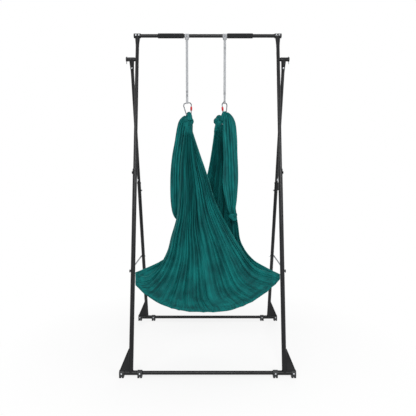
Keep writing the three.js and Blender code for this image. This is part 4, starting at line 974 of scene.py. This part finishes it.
def cloth_lobe(top_x, top_z, shares, side, phase):
    """A hanging loop of the tail, pleated down its length, from the place sideways, the drop and the half
    width of its ovals as shares of a metre, and their setback as a share of 54 mm."""
    step, drop, wide, back = smooth_line(shares, np.linspace(0, 1, 110)).T
    path = spread(top_x + side * step * METRE, 54 * back, top_z - drop * METRE)
    half_deep = 34 * np.minimum(1, np.abs(back) + 0.35) * np.clip(wide / 0.03, 0.15, 1)
    return bundle(path, wide * METRE, half_deep, 12, 0.62, swirl=0.3, sides=220, phase=phase)


LEFT_TAIL_SHARES = [
    [0.018, 0.0, 0.02, 0.2], [0.05, 0.055, 0.038, 0.5], [0.071, 0.163, 0.046, 0.9], [0.085, 0.25, 0.048, 1],
    [0.104, 0.384, 0.05, 1], [0.116, 0.553, 0.05, 1], [0.117, 0.758, 0.048, 1], [0.118, 0.887, 0.036, 1],
    [0.12, 0.938, 0.022, 1], [0.121, 0.964, 0.008, 1]]
RIGHT_TAIL_SHARES = [
    [0.012, 0.0, 0.018, -0.2], [0.022, 0.018, 0.028, -0.35], [0.032, 0.058, 0.042, -0.5],
    [0.037, 0.114, 0.051, -0.75], [0.044, 0.245, 0.055, -0.95], [0.052, 0.376, 0.053, -1],
    [0.056, 0.524, 0.058, -1], [0.058, 0.648, 0.059, -1], [0.067, 0.798, 0.045, -1],
    [0.071, 0.876, 0.033, -1], [0.076, 0.92, 0.021, -1], [0.081, 0.945, 0.012, -1]]

# Left end: the cloth passes through the carabiner, is knotted below it, and its tail hangs behind the cloth
wire_x = STRAPS["left"][0] - math.sin(STRAPS["left"][3]) * CARABINER_LENGTH
tail_left = piece("hammock_tail_bundle_left", [
    cloth_arch([[wire_x - 12, 24, 2172], [wire_x - 16, 26, 2228], [wire_x, 2, 2270],
                [wire_x + 14, -24, 2232], [wire_x + 8, -20, 2176]], 17, 15),
    cloth_knot((-180, -4, 2150), (35, 20, 42), 18, phase=0.4),
    cloth_neck([[-178, 6, 2200], [-176, 2, 2150], [-178, -2, 2090], [-178, -4, 2048]], 26, 25),
    cloth_lobe(-178, 2209, LEFT_TAIL_SHARES, -1, 0.2),
], tricot, "sling", ["hammock_tail_left"], sharp=180)

# Right end: the knot is set to the left of the carabiner, with a link between them, and the tail hangs in
# front and ends in a tie knot
link_points = [[160, -4, 2222], [148, -10, 2200], [128, -6, 2180], [108, 0, 2160]]
link = smooth_line(link_points, np.linspace(0, 1, 40))
tail_right = piece("hammock_tail_bundle_right", [
    cloth_arch([[138, -14, 2170], [150, -20, 2236], [158, 2, 2276], [168, 24, 2238], [165, -16, 2160]],
               18, 17),
    bundle(link, 20, 17, 12, 0.3, swirl=0.6, sides=110),
    cloth_knot((104, -4, 2175), (31, 20, 31), 18, phase=1.3, tilt=0.9),
    cloth_neck([[104, 4, 2195], [103, 2, 2160], [104, 2, 2125], [104, 4, 2090]], 22, 23),
    cloth_lobe(157, 2236, RIGHT_TAIL_SHARES, 1, 0.9),
    cloth_knot((241, -66, 1284), (29, 15, 28), 14, phase=2.1, tilt=0.5),
], tricot, "sling", ["hammock_tail_right"], sharp=180)


# Floor, lights and background

def white_rays(tree):
    """The share of rays that see plain white: those of the camera, of a mirror's glance and through glass."""
    rays = node(tree, "ShaderNodeLightPath").outputs
    seen = rays["Is Camera Ray"]
    for other in ("Is Glossy Ray", "Is Transmission Ray"):
        seen = node(tree, "ShaderNodeMath", {0: seen, 1: rays[other]}, operation="MAXIMUM").outputs[0]
    return seen


floor_mesh = bpy.data.meshes.new("studio_floor")
floor_mesh.from_pydata([(-30, -30, 0), (30, -30, 0), (30, 30, 0), (-30, 30, 0)], [], [(0, 1, 2, 3)])
floor = add_object("studio_floor", floor_mesh)
# matt white where the shadow falls, and plain white from 2 m out, so that no edge shows
floor_finish = bpy.data.materials.new("white_floor")
tree = empty_tree(floor_finish)
place = node(tree, "ShaderNodeTexCoord").outputs["Object"]
distance = node(tree, "ShaderNodeVectorMath", {0: place}, operation="LENGTH").outputs["Value"]
far = node(tree, "ShaderNodeMapRange", {0: distance, 1: 0.8, 2: 2.0, 3: 0.8, 4: 1.0})
white_share = node(tree, "ShaderNodeMath", {0: white_rays(tree), 1: far.outputs[0]}, operation="MULTIPLY")
matt = node(tree, "ShaderNodeBsdfDiffuse", {"Color": (0.9, 0.9, 0.9, 1)})
glow = node(tree, "ShaderNodeEmission", {"Color": (1, 1, 1, 1), "Strength": 1.0})
mixed = node(tree, "ShaderNodeMixShader", {0: white_share.outputs[0], 1: matt.outputs[0], 2: glow.outputs[0]})
node(tree, "ShaderNodeOutputMaterial", {"Surface": mixed.outputs[0]})
floor_mesh.materials.append(floor_finish)

world = bpy.data.worlds.new("studio")
bpy.context.scene.world = world
tree = empty_tree(world)
ambient = node(tree, "ShaderNodeBackground", {"Color": (1, 1, 1, 1), "Strength": 0.48})
white = node(tree, "ShaderNodeBackground", {"Color": (1, 1, 1, 1), "Strength": 1.0})
mixed = node(tree, "ShaderNodeMixShader", {0: white_rays(tree), 1: ambient.outputs[0], 2: white.outputs[0]})
node(tree, "ShaderNodeOutputWorld", {"Surface": mixed.outputs[0]})


def soft_light(name, place, target, size, power):
    """A square soft box that faces a target: its -Z axis points along the line to it."""
    lamp = bpy.data.lights.new(name, "AREA")
    lamp.size = size
    lamp.energy = power
    thing = add_object(name, lamp)
    thing.location = place
    thing.rotation_euler = (Vector(target) - Vector(place)).to_track_quat("-Z", "Y").to_euler()


soft_light("key_light", (-1.7, -4.4, 4.2), (0, 0, 1.4), 2.2, 82)
soft_light("fill_light", (3.0, -3.4, 2.8), (0, 0, 1.5), 2.0, 50)
soft_light("front_light", (0.4, -5.2, 3.1), (0, 0, 1.9), 0.8, 82)
soft_light("back_light", (0.5, 3.6, 4.2), (0, 0, 1.5), 2.4, 60)

bpy.context.scene.view_settings.view_transform = "Standard"
